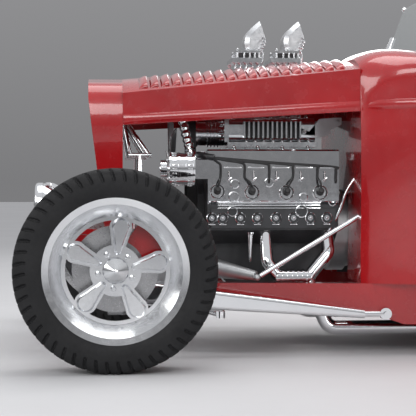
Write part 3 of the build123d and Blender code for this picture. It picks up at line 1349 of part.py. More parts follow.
# Windshield: a leaning frame of tube on two posts, with a flat pane
WS_FOOT_X = FRONT_X + 1150.0
WS_LEAN = 20.0
WS_HALF = 488.0
WS_TOP = 1330.0
WS_LOW = 1088.0
WS_R = 11.0
POST_R = 14.0
POST_TOP = 1210.0
POST_FOOT = 1000.0
PANE_THICK = 6.0
ws_lean = math.radians(WS_LEAN)
with BuildPart() as windshield_frame:
    corners = []
    for y, z in ((-WS_HALF, WS_LOW), (WS_HALF, WS_LOW), (WS_HALF, WS_TOP), (-WS_HALF, WS_TOP)):
        corners.append((WS_FOOT_X + (z - WS_LOW) * math.tan(ws_lean), y, z))
    for start, end in zip(corners, corners[1:] + corners[:1]):
        rod(start, end, WS_R)
    with Locations(*corners):
        Sphere(WS_R)
    for sign in (-1, 1):
        post_top = (WS_FOOT_X + (POST_TOP - WS_LOW) * math.tan(ws_lean), sign * (WS_HALF + 8), POST_TOP)
        rod((WS_FOOT_X - 40, sign * (WS_HALF - 6), POST_FOOT), post_top, POST_R)
keep(windshield_frame, "windshield_frame")

with BuildPart() as windshield_glass:
    pane_normal = (math.cos(ws_lean), 0, -math.sin(ws_lean))
    with BuildSketch(Plane(origin=(WS_FOOT_X, 0, WS_LOW), x_dir=(0, 1, 0), z_dir=pane_normal)) as pane:
        height = (WS_TOP - WS_LOW) / math.cos(ws_lean)
        with Locations((0, height / 2)):
            Rectangle(2 * WS_HALF, height)
    extrude(pane.sketch, amount=PANE_THICK / 2, both=True)
    add(windshield_frame.part, mode=Mode.SUBTRACT)
keep(windshield_glass, "windshield_glass")

with BuildPart() as cowl_cavity:
    add(body_inner.part)
    with Locations((FIREWALL_X + FIREWALL_THICK + 500, 0, 700)):
        Box(1000, 2000, 2000, mode=Mode.INTERSECT)

with BuildPart() as cowl:
    add(body_outer.part)
    with Locations((FIREWALL_X + (COWL_END_X - FIREWALL_X) / 2, 0, 700)):
        Box(COWL_END_X - FIREWALL_X, 2000, 2000, mode=Mode.INTERSECT)
    add(cowl_cavity.part, mode=Mode.SUBTRACT)
    plan_prism(FLOOR_PLAN, 0, SILL_Z + PANEL + 2, Mode.SUBTRACT)
    with Locations((FIREWALL_X, 0, TUNNEL_TOP[0] / 2)):
        Box(100, 2 * TUNNEL_HALF[0], TUNNEL_TOP[0], mode=Mode.SUBTRACT)
    add(steering_column.part, mode=Mode.SUBTRACT)
    add(windshield_frame.part, mode=Mode.SUBTRACT)
    for sign in (-1, 1):
        for z in DOOR_HINGE_Z:
            for lift in (-1, 1):
                leaf_z = z + lift * (HINGE_H / 2 + 5.4)
                block(
                    (COWL_END_X - 46, min(sign * 505, sign * (DOOR_HINGE_Y + 8)), leaf_z - 5),
                    (COWL_END_X, max(sign * 505, sign * (DOOR_HINGE_Y + 8)), leaf_z + 5),
                )
                with Locations((DOOR_HINGE_X, sign * DOOR_HINGE_Y, leaf_z)):
                    Cylinder(HINGE_EYE_R, 10)
            with Locations((DOOR_HINGE_X, sign * DOOR_HINGE_Y, z)):
                Cylinder(HINGE_PIN_R, HINGE_H + 20)
keep(cowl, "cowl")

with BuildPart() as body_wall:
    add(body_outer.part)
    add(body_inner.part, mode=Mode.SUBTRACT)
    with Locations((COWL_END_X + 1500, 0, 700)):
        Box(3000, 2000, 2000, mode=Mode.INTERSECT)
    plan_prism(COCKPIT_PLAN, COCKPIT_CUT_Z, 1400, Mode.SUBTRACT)

for side, sign in SIDES:
    with BuildPart() as door:
        add(body_wall.part)
        with Locations(((COWL_END_X + DOOR_END_X) / 2, sign * 600, DOOR_FOOT + DOOR_GAP + 500)):
            Box(DOOR_END_X - COWL_END_X - 2 * DOOR_GAP, 600, 1000, mode=Mode.INTERSECT)
        for z in DOOR_HINGE_Z:
            block(
                (DOOR_HINGE_X, min(sign * 515, sign * (DOOR_HINGE_Y + 8)), z - HINGE_H / 2),
                (DOOR_HINGE_X + 52, max(sign * 515, sign * (DOOR_HINGE_Y + 8)), z + HINGE_H / 2),
            )
            with Locations((DOOR_HINGE_X, sign * DOOR_HINGE_Y, z)):
                Cylinder(HINGE_EYE_R, HINGE_H)
                Cylinder(HINGE_PIN_R + RUN_FIT, HINGE_H + 40, mode=Mode.SUBTRACT)
    keep(door, f"door_{side}")

with BuildPart() as deck_lid:
    add(body_wall.part)
    with Locations(((LID_X[0] + LID_X[1]) / 2, 0, 1100)):
        Box(LID_X[1] - LID_X[0], 2 * LID_HALF, 900, mode=Mode.INTERSECT)
    for y in LID_HINGE_Y:
        block((LID_HINGE_X, y - 24, LID_HINGE_Z - 34), (LID_X[0] + 60, y + 24, LID_HINGE_Z + 4))
        rod((LID_HINGE_X, y - 24, LID_HINGE_Z), (LID_HINGE_X, y + 24, LID_HINGE_Z), HINGE_EYE_R)
        with Locations(Location((LID_HINGE_X, y, LID_HINGE_Z), (90, 0, 0))):
            Cylinder(HINGE_PIN_R + RUN_FIT, 100, mode=Mode.SUBTRACT)
keep(deck_lid, "deck_lid")

with BuildPart() as rear_body:
    add(body_wall.part)
    for sign in (-1, 1):
        with Locations(((COWL_END_X + DOOR_END_X) / 2, sign * 600, DOOR_FOOT + 500)):
            Box(DOOR_END_X - COWL_END_X, 600, 1000, mode=Mode.SUBTRACT)
    with Locations(((LID_X[0] + LID_X[1]) / 2, 0, 1100)):
        Box(LID_X[1] - LID_X[0] + 2 * DOOR_GAP, 2 * (LID_HALF + DOOR_GAP), 900, mode=Mode.SUBTRACT)
    for y in LID_HINGE_Y:
        with Locations((LID_HINGE_X, y, LID_HINGE_Z)):
            Box(2 * HINGE_EYE_R + 6, 60, 2 * HINGE_EYE_R + 60, mode=Mode.SUBTRACT)
        for side in (-1, 1):
            ear = y + side * 34
            block((LID_HINGE_X - 50, ear - 8, LID_HINGE_Z - 30), (LID_HINGE_X, ear + 8, LID_HINGE_Z + 4))
            rod((LID_HINGE_X, ear - 8, LID_HINGE_Z), (LID_HINGE_X, ear + 8, LID_HINGE_Z), HINGE_EYE_R)
        rod((LID_HINGE_X, y - 30, LID_HINGE_Z), (LID_HINGE_X, y + 30, LID_HINGE_Z), HINGE_PIN_R)
    plan_prism(FLOOR_PLAN, 0, SILL_Z + PANEL + 2, Mode.SUBTRACT)
    with Locations(((FRONT_X + KICK_REAR_START + TUNNEL_END_X) / 2, 0, TUNNEL_TOP[1] / 2)):
        Box(TUNNEL_END_X - FRONT_X - KICK_REAR_START, 2 * TUNNEL_HALF[1], TUNNEL_TOP[1], mode=Mode.SUBTRACT)
rear_body.part = Part(rear_body.part.solids().sort_by(SortBy.VOLUME)[-1].wrapped)
keep(rear_body, "rear_body")

TUNNEL_WALL = 6.0
with BuildPart() as tunnel_inside:
    tunnel_form(TUNNEL_WALL)

with BuildPart() as floor:
    plan_prism(FLOOR_PLAN, SILL_Z, SILL_Z + FLOOR)
    tunnel_form(0.0)
    add(tunnel_inside.part, mode=Mode.SUBTRACT)
    with Locations((0, 0, SILL_Z - 500)):
        Box(9000, 2000, 1000, mode=Mode.SUBTRACT)
keep(floor, "floor")

DASH_X = FRONT_X + 1160.0
DASH_THICK = 20.0
DASH_HALF = 500.0
DASH_FOOT = 780.0
COLUMN_DROP = (600.0, 800.0)
with BuildPart() as dashboard:
    block((DASH_X, -DASH_HALF, DASH_FOOT), (DASH_X + DASH_THICK, DASH_HALF, 1200))
    add(body_inner.part, mode=Mode.INTERSECT)
    block((DASH_X, COLUMN_Y - 40, COLUMN_DROP[0]), (DASH_X + DASH_THICK, COLUMN_Y + 40, COLUMN_DROP[1]))
    add(steering_column.part, mode=Mode.SUBTRACT)
keep(dashboard, "dashboard")

# Bench seat from the side: place behind the front axle, height
SEAT_HALF = 482.0
SEAT_SIDE = (
    (1640.0, SILL_Z + FLOOR),
    (1620.0, 500.0),
    (1660.0, 530.0),
    (1990.0, 505.0),
    (2075.0, 890.0),
    (2120.0, 925.0),
    (2180.0, 905.0),
    (2140.0, 520.0),
    (2120.0, SILL_Z + FLOOR),
)
with BuildPart() as seat:
    plate(Plane.XZ, [(FRONT_X + x, z) for x, z in SEAT_SIDE], SEAT_HALF, both=True)
    with Locations((FRONT_X + 1900, 0, TUNNEL_TOP[1] / 2)):
        Box(1000, 2 * TUNNEL_HALF[1], TUNNEL_TOP[1], mode=Mode.SUBTRACT)
keep(seat, "seat")

TANK_X = (FRONT_X + 2850.0, FRONT_X + 3050.0)
with BuildPart() as fuel_tank:
    block((TANK_X[0], -300, 330), (TANK_X[1], 300, RAIL_KICK_REAR))
    fillet(fuel_tank.edges().filter_by(Axis.Y), 24)
keep(fuel_tank, "fuel_tank")

with BuildPart() as tail_lamps:
    for sign in (-1, 1):
        rod((BODY_END_X, sign * 300, 650), (BODY_END_X + 26, sign * 300, 650), 44)
keep(tail_lamps, "tail_lamps")

os.makedirs("parts", exist_ok=True)
for name, solid in parts.items():
    export_step(solid, f"parts/{name}.step")
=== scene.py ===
"""Looks of a fenderless red roadster with an open engine bay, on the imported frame."""

import math

import bmesh
import bpy
from mathutils import Matrix, Vector
from mathutils.bvhtree import BVHTree


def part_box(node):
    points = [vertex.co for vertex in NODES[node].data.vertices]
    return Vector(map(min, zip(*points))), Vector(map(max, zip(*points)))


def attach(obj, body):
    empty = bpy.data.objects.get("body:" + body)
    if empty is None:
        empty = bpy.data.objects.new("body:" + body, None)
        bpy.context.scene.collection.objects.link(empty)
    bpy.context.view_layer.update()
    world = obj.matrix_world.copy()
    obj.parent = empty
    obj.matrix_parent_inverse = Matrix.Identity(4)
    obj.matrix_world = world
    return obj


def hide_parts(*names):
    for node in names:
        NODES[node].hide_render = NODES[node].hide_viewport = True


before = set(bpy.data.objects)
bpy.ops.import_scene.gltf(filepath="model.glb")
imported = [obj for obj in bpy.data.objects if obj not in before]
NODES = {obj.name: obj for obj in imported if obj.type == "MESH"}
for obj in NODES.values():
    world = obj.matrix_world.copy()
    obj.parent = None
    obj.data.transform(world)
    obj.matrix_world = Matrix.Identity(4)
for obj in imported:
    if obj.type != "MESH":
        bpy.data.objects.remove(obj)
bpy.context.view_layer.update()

MM = 0.001
SIDES = (("left", -1), ("right", 1))
UP, DOWN = (0, 0, 1), (0, 0, -1)
FORWARD, BACKWARD = (-1, 0, 0), (1, 0, 0)


def middle(node):
    """Centre of a CAD node's box."""
    low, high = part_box(node)
    return (low + high) / 2


AXLE_X = middle("tyre_front_left").x
CAR = Matrix.Translation((AXLE_X, 0, 0))  # the ground below the middle of the front axle


def mm(x, y, z):
    """A step given in mm."""
    return Vector((x, y, z)) * MM


def at(x, y, z):
    """A place given in mm behind the front axle, across the car and up."""
    return Vector((AXLE_X + x * MM, y * MM, z * MM))


def between(low, high, share):
    """The value a share of the way from low to high."""
    return low + (high - low) * share


def clamp(value):
    """A value kept between 0 and 1."""
    return max(0.0, min(1.0, value))


# Materials
NOISE_LOW, NOISE_HIGH = 0.3, 0.7  # nearly all of a noise texture lies between these
FINE = 9  # how much finer the roughness changes than the colour
FINE_DETAIL = 6.0
GRAIN_DETAIL = 3.0


def shader(name):
    """A new material with its node tree, its main shader and a shared place to read textures from."""
    material = bpy.data.materials.new(name)
    material.use_nodes = True
    tree = material.node_tree
    main = tree.nodes["Principled BSDF"]
    place = tree.nodes.new("ShaderNodeTexCoord").outputs["Object"]
    return material, tree, main, place


def noise(tree, place, scale, detail=4.0):
    """A noise texture's value, read in metres."""
    texture = tree.nodes.new("ShaderNodeTexNoise")
    texture.inputs["Scale"].default_value = scale
    texture.inputs["Detail"].default_value = detail
    tree.links.new(place, texture.inputs["Vector"])
    return texture.outputs["Fac"]


def remap(tree, value, low, high):
    """A noise value turned into low to high."""
    node = tree.nodes.new("ShaderNodeMapRange")
    ends = {"From Min": NOISE_LOW, "From Max": NOISE_HIGH, "To Min": low, "To Max": high}
    for socket, end in ends.items():
        node.inputs[socket].default_value = end
    tree.links.new(value, node.inputs["Value"])
    return node.outputs["Result"]


def blend_colours(tree, value, dark, light):
    """A colour between two, chosen by a noise value."""
    ramp = tree.nodes.new("ShaderNodeValToRGB")
    first, last = ramp.color_ramp.elements
    first.position, last.position = NOISE_LOW, NOISE_HIGH
    first.color, last.color = (*dark, 1), (*light, 1)
    tree.links.new(value, ramp.inputs["Fac"])
    return ramp.outputs["Color"]


def bump(tree, main, height, strength, distance):
    """Adds relief from a texture value to a material's normal."""
    node = tree.nodes.new("ShaderNodeBump")
    node.inputs["Strength"].default_value = strength
    node.inputs["Distance"].default_value = distance
    tree.links.new(height, node.inputs["Height"])
    tree.links.new(node.outputs["Normal"], main.inputs["Normal"])


def surface(name, dark, light, rough, metallic=0.0, grain=None, patch=6.0, **sockets):
    """A material with patchy colour, uneven roughness and fine relief: grain is scale, strength, depth."""
    material, tree, main, place = shader(name)
    tree.links.new(blend_colours(tree, noise(tree, place, patch), dark, light), main.inputs["Base Color"])
    main.inputs["Metallic"].default_value = metallic
    fine = noise(tree, place, patch * FINE, FINE_DETAIL)
    tree.links.new(remap(tree, fine, *rough), main.inputs["Roughness"])
    for socket, value in sockets.items():
        main.inputs[socket.replace("_", " ")].default_value = value
    if grain:
        scale, strength, depth = grain
        bump(tree, main, noise(tree, place, scale, GRAIN_DETAIL), strength, depth)
    return material


RED = surface(
    "red_gloss_paint", (0.30, 0.004, 0.007), (0.42, 0.008, 0.011), (0.20, 0.30),
    grain=(500.0, 0.015, 0.0003), patch=3.0,
    Coat_Weight=1.0, Coat_Roughness=0.03, Specular_IOR_Level=0.5,
)
CHROME = surface(
    "chrome_plate", (0.78, 0.79, 0.81), (0.88, 0.89, 0.90), (0.04, 0.10), 1.0, patch=5.0
)
POLISHED = surface(
    "polished_alloy", (0.70, 0.71, 0.73), (0.82, 0.83, 0.84), (0.12, 0.22), 1.0,
    grain=(700.0, 0.05, 0.0003), patch=8.0,
)
CAST = surface(
    "cast_alloy", (0.42, 0.43, 0.44), (0.56, 0.57, 0.58), (0.34, 0.50), 0.9,
    grain=(420.0, 0.35, 0.0006), patch=14.0,
)
IRON = surface(
    "engine_enamel", (0.028, 0.029, 0.031), (0.055, 0.056, 0.060), (0.30, 0.45), 0.2,
    grain=(300.0, 0.35, 0.0006), patch=12.0,
)
STEEL = surface(
    "machined_steel", (0.40, 0.40, 0.41), (0.55, 0.55, 0.56), (0.24, 0.36), 1.0,
    grain=(600.0, 0.03, 0.0002), patch=16.0,
)
SATIN = surface(
    "satin_alloy", (0.66, 0.67, 0.69), (0.78, 0.79, 0.80), (0.28, 0.38), 1.0,
    grain=(500.0, 0.05, 0.0003), patch=10.0,
)
TYRE = surface(
    "tyre_rubber", (0.009, 0.009, 0.010), (0.017, 0.017, 0.018), (0.55, 0.72),
    grain=(260.0, 0.25, 0.0006), patch=9.0, Specular_IOR_Level=0.28,
)
RUBBER = surface(
    "black_rubber", (0.014, 0.014, 0.015), (0.028, 0.028, 0.029), (0.45, 0.60),
    grain=(350.0, 0.2, 0.0005), patch=14.0,
)
BLACK = surface(
    "satin_black", (0.012, 0.012, 0.013), (0.024, 0.024, 0.026), (0.32, 0.45),
    grain=(500.0, 0.15, 0.0004), patch=10.0,
)
LEATHER = surface(
    "black_leather", (0.020, 0.014, 0.012), (0.042, 0.030, 0.026), (0.38, 0.52),
    grain=(420.0, 0.6, 0.0012), patch=7.0, Specular_IOR_Level=0.45,
)
TAIL_RED = surface(
    "red_lens", (0.35, 0.004, 0.004), (0.50, 0.010, 0.008), (0.05, 0.12), patch=20.0, Coat_Weight=0.8
)
GAUGE = surface("dial_face", (0.55, 0.53, 0.48), (0.66, 0.64, 0.58), (0.35, 0.45), patch=30.0)

GLASS_IOR = 1.45
FLUTES = 28.0


def glass(name, tint, clear, patch, rough, fluted=False):
    """Glass with a faint tint and uneven gloss, and with upright pressed flutes if asked."""
    material, tree, main, place = shader(name)
    main.inputs["Base Color"].default_value = (*tint, 1)
    main.inputs["Transmission Weight"].default_value = clear
    main.inputs["IOR"].default_value = GLASS_IOR
    tree.links.new(remap(tree, noise(tree, place, patch), *rough), main.inputs["Roughness"])
    if fluted:
        flutes = tree.nodes.new("ShaderNodeTexWave")
        flutes.bands_direction = "Y"
        flutes.inputs["Scale"].default_value = FLUTES
        tree.links.new(place, flutes.inputs["Vector"])
        bump(tree, main, flutes.outputs["Fac"], 0.3, 0.001)
    return material


GLASS = glass("clear_glass", (0.90, 0.95, 0.94), 1.0, 3.0, (0.0, 0.02))
LENS = glass("fluted_glass", (0.93, 0.95, 0.95), 0.9, 4.0, (0.03, 0.08), fluted=True)

NODE_MATERIALS = {
    RED: (
        "frame_rails", "cross_members", "grille_shell", "hood_top", "cowl", "door_left", "door_right",
        "rear_body", "deck_lid", "caliper_left", "caliper_right",
    ),
    CHROME: (
        "front_axle", "wishbones", "spreader_bars", "exhaust_headers", "exhaust_pipes", "tie_rod",
        "drag_link", "steering_column", "windshield_frame", "headlamps", "radiator_stays", "alternator",
        "rear_struts", "rear_links", "grille_bars", "cylinder_heads",
    ),
    POLISHED: (
        "wheel_front_left", "wheel_front_right", "wheel_rear_left", "wheel_rear_right",
        "supercharger", "carburettors",
    ),
    SATIN: ("air_scoops",),
    CAST: ("gearbox", "cooling_fan", "rear_axle", "steering_box"),
    IRON: ("engine_block",),
    STEEL: (
        "knuckle_left", "knuckle_right", "pitman_arm", "brake_disc_left", "brake_disc_right", "front_spring",
    ),
    TYRE: ("tyre_front_left", "tyre_front_right", "tyre_rear_left", "tyre_rear_right"),
    RUBBER: ("radiator_hose", "drive_belt"),
    BLACK: ("floor", "fuel_tank", "dashboard", "radiator"),
    LEATHER: ("seat", "steering_wheel"),
    GLASS: ("windshield_glass",),
    TAIL_RED: ("tail_lamps",),
}


def dress_nodes():
    """Gives each CAD node its material."""
    for material, names in NODE_MATERIALS.items():
        for name in names:
            mesh = NODES[name].data
            mesh.materials.clear()
            mesh.materials.append(material)


# Camera at the photograph's place, beside the front wheel
CAMERA_BACK = -0.062  # along the car from the front axle
CAMERA_Y = -4.640
CAMERA_Z = 0.612
CAMERA_YAW = 5.2
CAMERA_PITCH = 1.3
FOCAL_PIXELS = 1232.0
PHOTO_PIXELS = 416.0


def place_camera():
    """Sets the camera up from the place and angles worked out from the photograph."""
    lens = bpy.data.cameras.new("camera")
    lens.angle = 2 * math.atan(PHOTO_PIXELS / 2 / FOCAL_PIXELS)
    camera = bpy.data.objects.new("camera", lens)
    camera.location = (AXLE_X + CAMERA_BACK, CAMERA_Y, CAMERA_Z)
    camera.rotation_euler = (math.radians(90 - CAMERA_PITCH), 0, math.radians(-CAMERA_YAW))
    bpy.context.scene.collection.objects.link(camera)
    bpy.context.scene.camera = camera


# Studio, in metres and watts
LAMPS = (
    # name, place, target, size, power
    ("overhead", (0.0, 0.0, 4.2), (0, 0, 0.5), (5.0, 3.0), 120),
    ("left_side", (-2.6, -4.6, 3.0), (-0.4, 0, 0.6), (3.2, 1.8), 82),
    ("left_low", (1.8, -5.4, 1.2), (-0.4, 0, 0.5), (0.7, 2.2), 34),
    ("right_side", (1.5, 5.0, 2.6), (0, 0, 0.6), (3.5, 1.8), 72),
    ("nose", (-5.5, -1.2, 2.2), (-1.0, 0, 0.7), (2.0, 1.4), 34),
)
ROOM_GREYS = ((0.50, 0.20), (0.58, 0.28), (0.70, 0.58))  # share of the way up, grey
ROOM_LOWEST = (0.25, 0.25, 0.26, 1)
ROOM_HIGHEST = (0.68, 0.69, 0.71, 1)
ROOM_BLUE = 1.03  # blue for each part of grey
FLOOR_SIZE = 60


def area_lamp(name, place, target, size, power):
    """A soft lamp that faces a target and isn't seen through glass."""
    light = bpy.data.lights.new(name, "AREA")
    light.shape = "RECTANGLE"
    light.size, light.size_y = size
    light.energy = power
    lamp = bpy.data.objects.new(name, light)
    lamp.location = place
    lamp.visible_transmission = False
    aim = Vector(target) - Vector(place)
    lamp.rotation_euler = aim.to_track_quat("-Z", "Y").to_euler()
    bpy.context.scene.collection.objects.link(lamp)


def light_studio():
    """Soft boxes above and at the sides, a pale floor and a grey room that is darker low down."""
    scene = bpy.context.scene
    scene.view_settings.view_transform = "Standard"
    world = bpy.data.worlds.new("room")
    scene.world = world
    world.use_nodes = True
    tree = world.node_tree
    split = tree.nodes.new("ShaderNodeSeparateXYZ")
    tree.links.new(tree.nodes.new("ShaderNodeTexCoord").outputs["Generated"], split.inputs["Vector"])
    rise = tree.nodes.new("ShaderNodeMapRange")
    rise.inputs["From Min"].default_value = -1.0
    tree.links.new(split.outputs["Z"], rise.inputs["Value"])
    ramp = tree.nodes.new("ShaderNodeValToRGB")
    for share, grey in ROOM_GREYS:
        ramp.color_ramp.elements.new(share).color = (grey, grey, grey * ROOM_BLUE, 1)
    ramp.color_ramp.elements[0].color = ROOM_LOWEST
    ramp.color_ramp.elements[-1].color = ROOM_HIGHEST
    tree.links.new(rise.outputs["Result"], ramp.inputs["Fac"])
    tree.links.new(ramp.outputs["Color"], tree.nodes["Background"].inputs["Color"])
    for lamp in LAMPS:
        area_lamp(*lamp)

    bpy.ops.mesh.primitive_plane_add(size=FLOOR_SIZE)
    ground = bpy.context.object
    ground.name = "floor_plane"
    ground.data.materials.append(
        surface("pale_floor", (0.56, 0.56, 0.57), (0.60, 0.60, 0.61), (0.55, 0.65), patch=0.8)
    )


# Mesh tools: places are in metres, and profiles, radii, bevels and the corners of boxes in mm
SHARP_ANGLE = math.radians(38)


def new_piece(name, bm, material, body="chassis", smooth=True):
    """Turns a bmesh into a piece that rides on a body."""
    mesh = bpy.data.meshes.new(name)
    bmesh.ops.recalc_face_normals(bm, faces=bm.faces)
    bm.to_mesh(mesh)
    bm.free()
    if smooth:
        mesh.shade_smooth()
        mesh.set_sharp_from_angle(angle=SHARP_ANGLE)
    mesh.materials.append(material)
    piece = bpy.data.objects.new(name, mesh)
    bpy.context.scene.collection.objects.link(piece)
    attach(piece, body)
    return piece


def stand(place, normal):
    """A transform that puts local +Z along a normal at a place."""
    turn = Vector(normal).to_track_quat("Z", "Y").to_matrix().to_4x4()
    return Matrix.Translation(Vector(place)) @ turn


def turned(place, angle, axis="X"):
    """A transform that turns round an axis at a place."""
    return Matrix.Translation(place) @ Matrix.Rotation(angle, 4, axis)


def angles(count, shift=0.0):
    """Evenly spaced angles round a circle."""
    return [2 * math.pi * (index + shift) / count for index in range(count)]


def skin(bm, rows, closed=True, ends=False):
    """Joins rows of points with faces: closed rows are loops, a row of one is a tip, and ends fills both ends."""
    for one, other in zip(rows, rows[1:]):
        count = max(len(one), len(other))
        for k in range(count if closed else count - 1):
            after = (k + 1) % count
            corners = one[k % len(one)], one[after % len(one)], other[after % len(other)], other[k % len(other)]
            bm.faces.new(list(dict.fromkeys(corners)))
    if ends:
        bm.faces.new(rows[0])
        bm.faces.new(rows[-1])


def add_lathe(bm, profile, matrix, steps=24):
    """Adds a turned shape: profile is radius and height along local Z; a radius of 0 closes it."""
    rings = []
    for radius, height in profile:
        ring = angles(steps) if radius else (0.0,)
        places = [mm(radius * math.cos(angle), radius * math.sin(angle), height) for angle in ring]
        rings.append([bm.verts.new(matrix @ place) for place in places])
    skin(bm, rings)


def add_box(bm, low, high, bevel=0.0, matrix=CAR):
    """Adds a box between two corners, with rounded edges if asked."""
    low, high = mm(*low), mm(*high)
    place = matrix @ Matrix.Translation((low + high) / 2) @ Matrix.Diagonal((*(high - low), 1))
    made = bmesh.ops.create_cube(bm, size=1, matrix=place)
    if bevel:
        edges = list(dict.fromkeys(edge for vert in made["verts"] for edge in vert.link_edges))
        bmesh.ops.bevel(bm, geom=edges, offset=bevel * MM, segments=3, affect="EDGES", profile=0.5)


def add_bar(bm, sign, xs, ys, zs, bevel):
    """Adds a box on one side of the car, given by its ends along each axis, with ys from the middle outward."""
    inner, outer = sorted(sign * y for y in ys)
    add_box(bm, (xs[0], inner, zs[0]), (xs[1], outer, zs[1]), bevel)


def add_hex_nut(bm, place, normal, radius, height, dome=0.6):
    """Adds a washer, a six-sided nut and a domed end, whose radius is a share of the nut's."""
    matrix = stand(place, normal)
    washer, washer_top = radius * 1.35, height * 0.18
    add_lathe(bm, [(0, 0), (washer, 0), (washer, washer_top), (0, washer_top)], matrix, 20)
    top, top_radius = height * 0.85, radius * 0.84
    add_lathe(bm, [(radius, height * 0.1), (radius, height * 0.75), (top_radius, top), (0, top)], matrix, 6)
    reach, foot = radius * dome, height * 0.8
    cap = [(reach * math.cos(angle), foot + reach * math.sin(angle)) for angle in angles(16)[:4]]
    add_lathe(bm, [*cap, (0, foot + reach)], matrix, 16)


def add_tube(bm, points, radii, steps=12, side=None):
    """Adds a round tube through points: radii is one radius, or a list with one for each point."""
    if not isinstance(radii, list):
        radii = [radii] * len(points)
    rings = []
    for index, (point, radius) in enumerate(zip(points, radii)):
        ahead = (points[min(index + 1, len(points) - 1)] - points[max(index - 1, 0)]).normalized()
        if side is None:
            side = ahead.orthogonal().normalized()
        side = (side - ahead * side.dot(ahead)).normalized()
        up = ahead.cross(side)
        spokes = [side * math.cos(angle) + up * math.sin(angle) for angle in angles(steps)]
        rings.append([bm.verts.new(point + spoke * radius * MM) for spoke in spokes])
    skin(bm, rings, ends=True)


def curve_points(points, count=24):
    """Points along a smooth curve through the given ones."""
    points = [Vector(point) for point in points]
    points = [points[0]] + points + [points[-1]]
    line = []
    spans = len(points) - 3
    for step in range(count + 1):
        place = min(step / count * spans, spans - 1e-6)
        index = int(place)
        t = place - index
        a, b, c, d = points[index:index + 4]
        square, cube = 2 * a - 5 * b + 4 * c - d, 3 * b - 3 * c + d - a
        line.append(0.5 * (2 * b + (c - a) * t + square * t * t + cube * t ** 3))
    return line


TREES = {}


def hit(node, start, aim):
    """Where a ray meets a CAD node's surface, and the surface's normal there."""
    if node not in TREES:
        mesh = NODES[node].data
        TREES[node] = BVHTree.FromPolygons(
            [vert.co for vert in mesh.vertices], [tuple(face.vertices) for face in mesh.polygons]
        )
    place, normal, _, _ = TREES[node].ray_cast(Vector(start), Vector(aim))
    if normal is not None and normal.dot(Vector(aim)) > 0:
        normal = -normal
    return place, normal


# Tyres: a turned carcass with slanted shoulder lugs and grooves cut in the tread
TYRE_SECTION = (
    # shares of the half-width and of the wall's height, from the bead to the middle of the tread
    (0.72, 0.0), (0.86, 0.10), (0.97, 0.30), (1.00, 0.50), (0.985, 0.68), (0.94, 0.83), (0.86, 0.935),
    (0.74, 0.985), (0.50, 0.997), (0.25, 1.0), (0.0, 1.0),
)
SECTION_STEPS = 34
BEAD_INSET = 15 * MM  # of the bead within the rim's lip
TREAD_LUGS = 52
TREAD_DEPTH = 7 * MM
LUG_STEPS = 14
SHOULDER_SHARE = 0.87  # of the tyre's radius, where the lugs begin on the side
SHOULDER_FADE = 0.02  # of the radius, in which the cut reaches its depth
LUG_SLANT = 0.9  # lugs that a groove moves along between the shoulder and the tread
SIDE_SLANT = 1.6
LUG_GROOVE = 0.24  # of a lug's pitch
RING_GROOVES = (0.30, 0.62)  # shares of the half-width
RING_GROOVE_HALF = 0.035
SIPE = (0.60, 0.66)  # a fine cut across each lug: shares of the pitch, then of the half-width and the depth
SIPE_SPAN = (0.34, 0.60)
SIPE_DEPTH = 0.6
SIDE_CUT = 0.7  # of the depth, sideways, past the shoulder that begins at SIDE_START
SIDE_START = 0.80
SIDE_WIDTH = 0.12


def tyre_profile(half, radius, bead):
    """Half of a tyre's section from the bead to the middle of the tread: distance from the middle, radius."""
    knots = [(half * across, between(bead, radius, out), 0) for across, out in TYRE_SECTION]
    return [(point.x, min(point.y, radius)) for point in curve_points(knots, SECTION_STEPS)]


def tread_cut(across, radius, full_radius, half, turn):
    """How far the rubber is cut away at a place on the tyre: turn counts lugs around it."""
    past = radius / full_radius - SHOULDER_SHARE
    if past < 0:
        return 0.0
    inward = abs(across) / half
    lean = LUG_SLANT * (1 - inward) + SIDE_SLANT * past
    phase = (turn + lean * (1 if across > 0 else -1)) % 1.0
    in_lug_groove = phase < LUG_GROOVE and inward > RING_GROOVES[0]
    if in_lug_groove or any(abs(inward - groove) < RING_GROOVE_HALF for groove in RING_GROOVES):
        return TREAD_DEPTH * min(1.0, past / SHOULDER_FADE)
    if SIPE[0] < phase < SIPE[1] and SIPE_SPAN[0] < inward < SIPE_SPAN[1]:
        return TREAD_DEPTH * SIPE_DEPTH
    return 0.0


def build_tyre(end, side):
    """Replaces a plain tyre with one that has its tread."""
    node = f"tyre_{end}_{side}"
    low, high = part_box(node)
    centre = middle(node)
    half = (high.y - low.y) / 2
    radius = (high.z - low.z) / 2
    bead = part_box(f"wheel_{end}_{side}")[1].z - centre.z - BEAD_INSET
    profile = tyre_profile(half, radius, bead)
    profile += [(-across, out) for across, out in reversed(profile[:-1])]
    bm = bmesh.new()
    rings = []
    for across, out in profile:
        shoulder = clamp((abs(across) / half - SIDE_START) / SIDE_WIDTH)
        ring = []
        for step, angle in enumerate(angles(TREAD_LUGS * LUG_STEPS)):
            cut = tread_cut(across, out, radius, half, step / LUG_STEPS)
            beside = across - math.copysign(cut * SIDE_CUT * shoulder, across)
            spoke = Vector((math.cos(angle), 0, math.sin(angle))) * (out - cut)
            ring.append(bm.verts.new(centre + spoke + Vector((0, beside, 0))))
        rings.append(ring)
    skin(bm, rings + rings[:1])
    tyre = new_piece(f"treaded_tyre_{end}_{side}", bm, TYRE, f"wheel_{end}_{side}")
    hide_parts(node)


# Hood: a row of louvres on each side of the top, in metres
LOUVRES = 19
LOUVRE_WIDTH = 30 * MM
LOUVRE_RISE = 13 * MM
LOUVRE_GAP = 0.4 * MM
LOUVRE_SHEET = 1.2 * MM
LOUVRE_SPAN = (0.42, 0.93)  # of the hood's half-width, where a louvre begins and ends
LOUVRE_ENDS = (0.055, 0.045)  # plain metal ahead of the row and behind it
HOOD_HALF = (0.268, 0.368)  # half-width at the front and the back
LOUVRE_GRID = (16, 7)
ABOVE = 2.0  # over the whole car


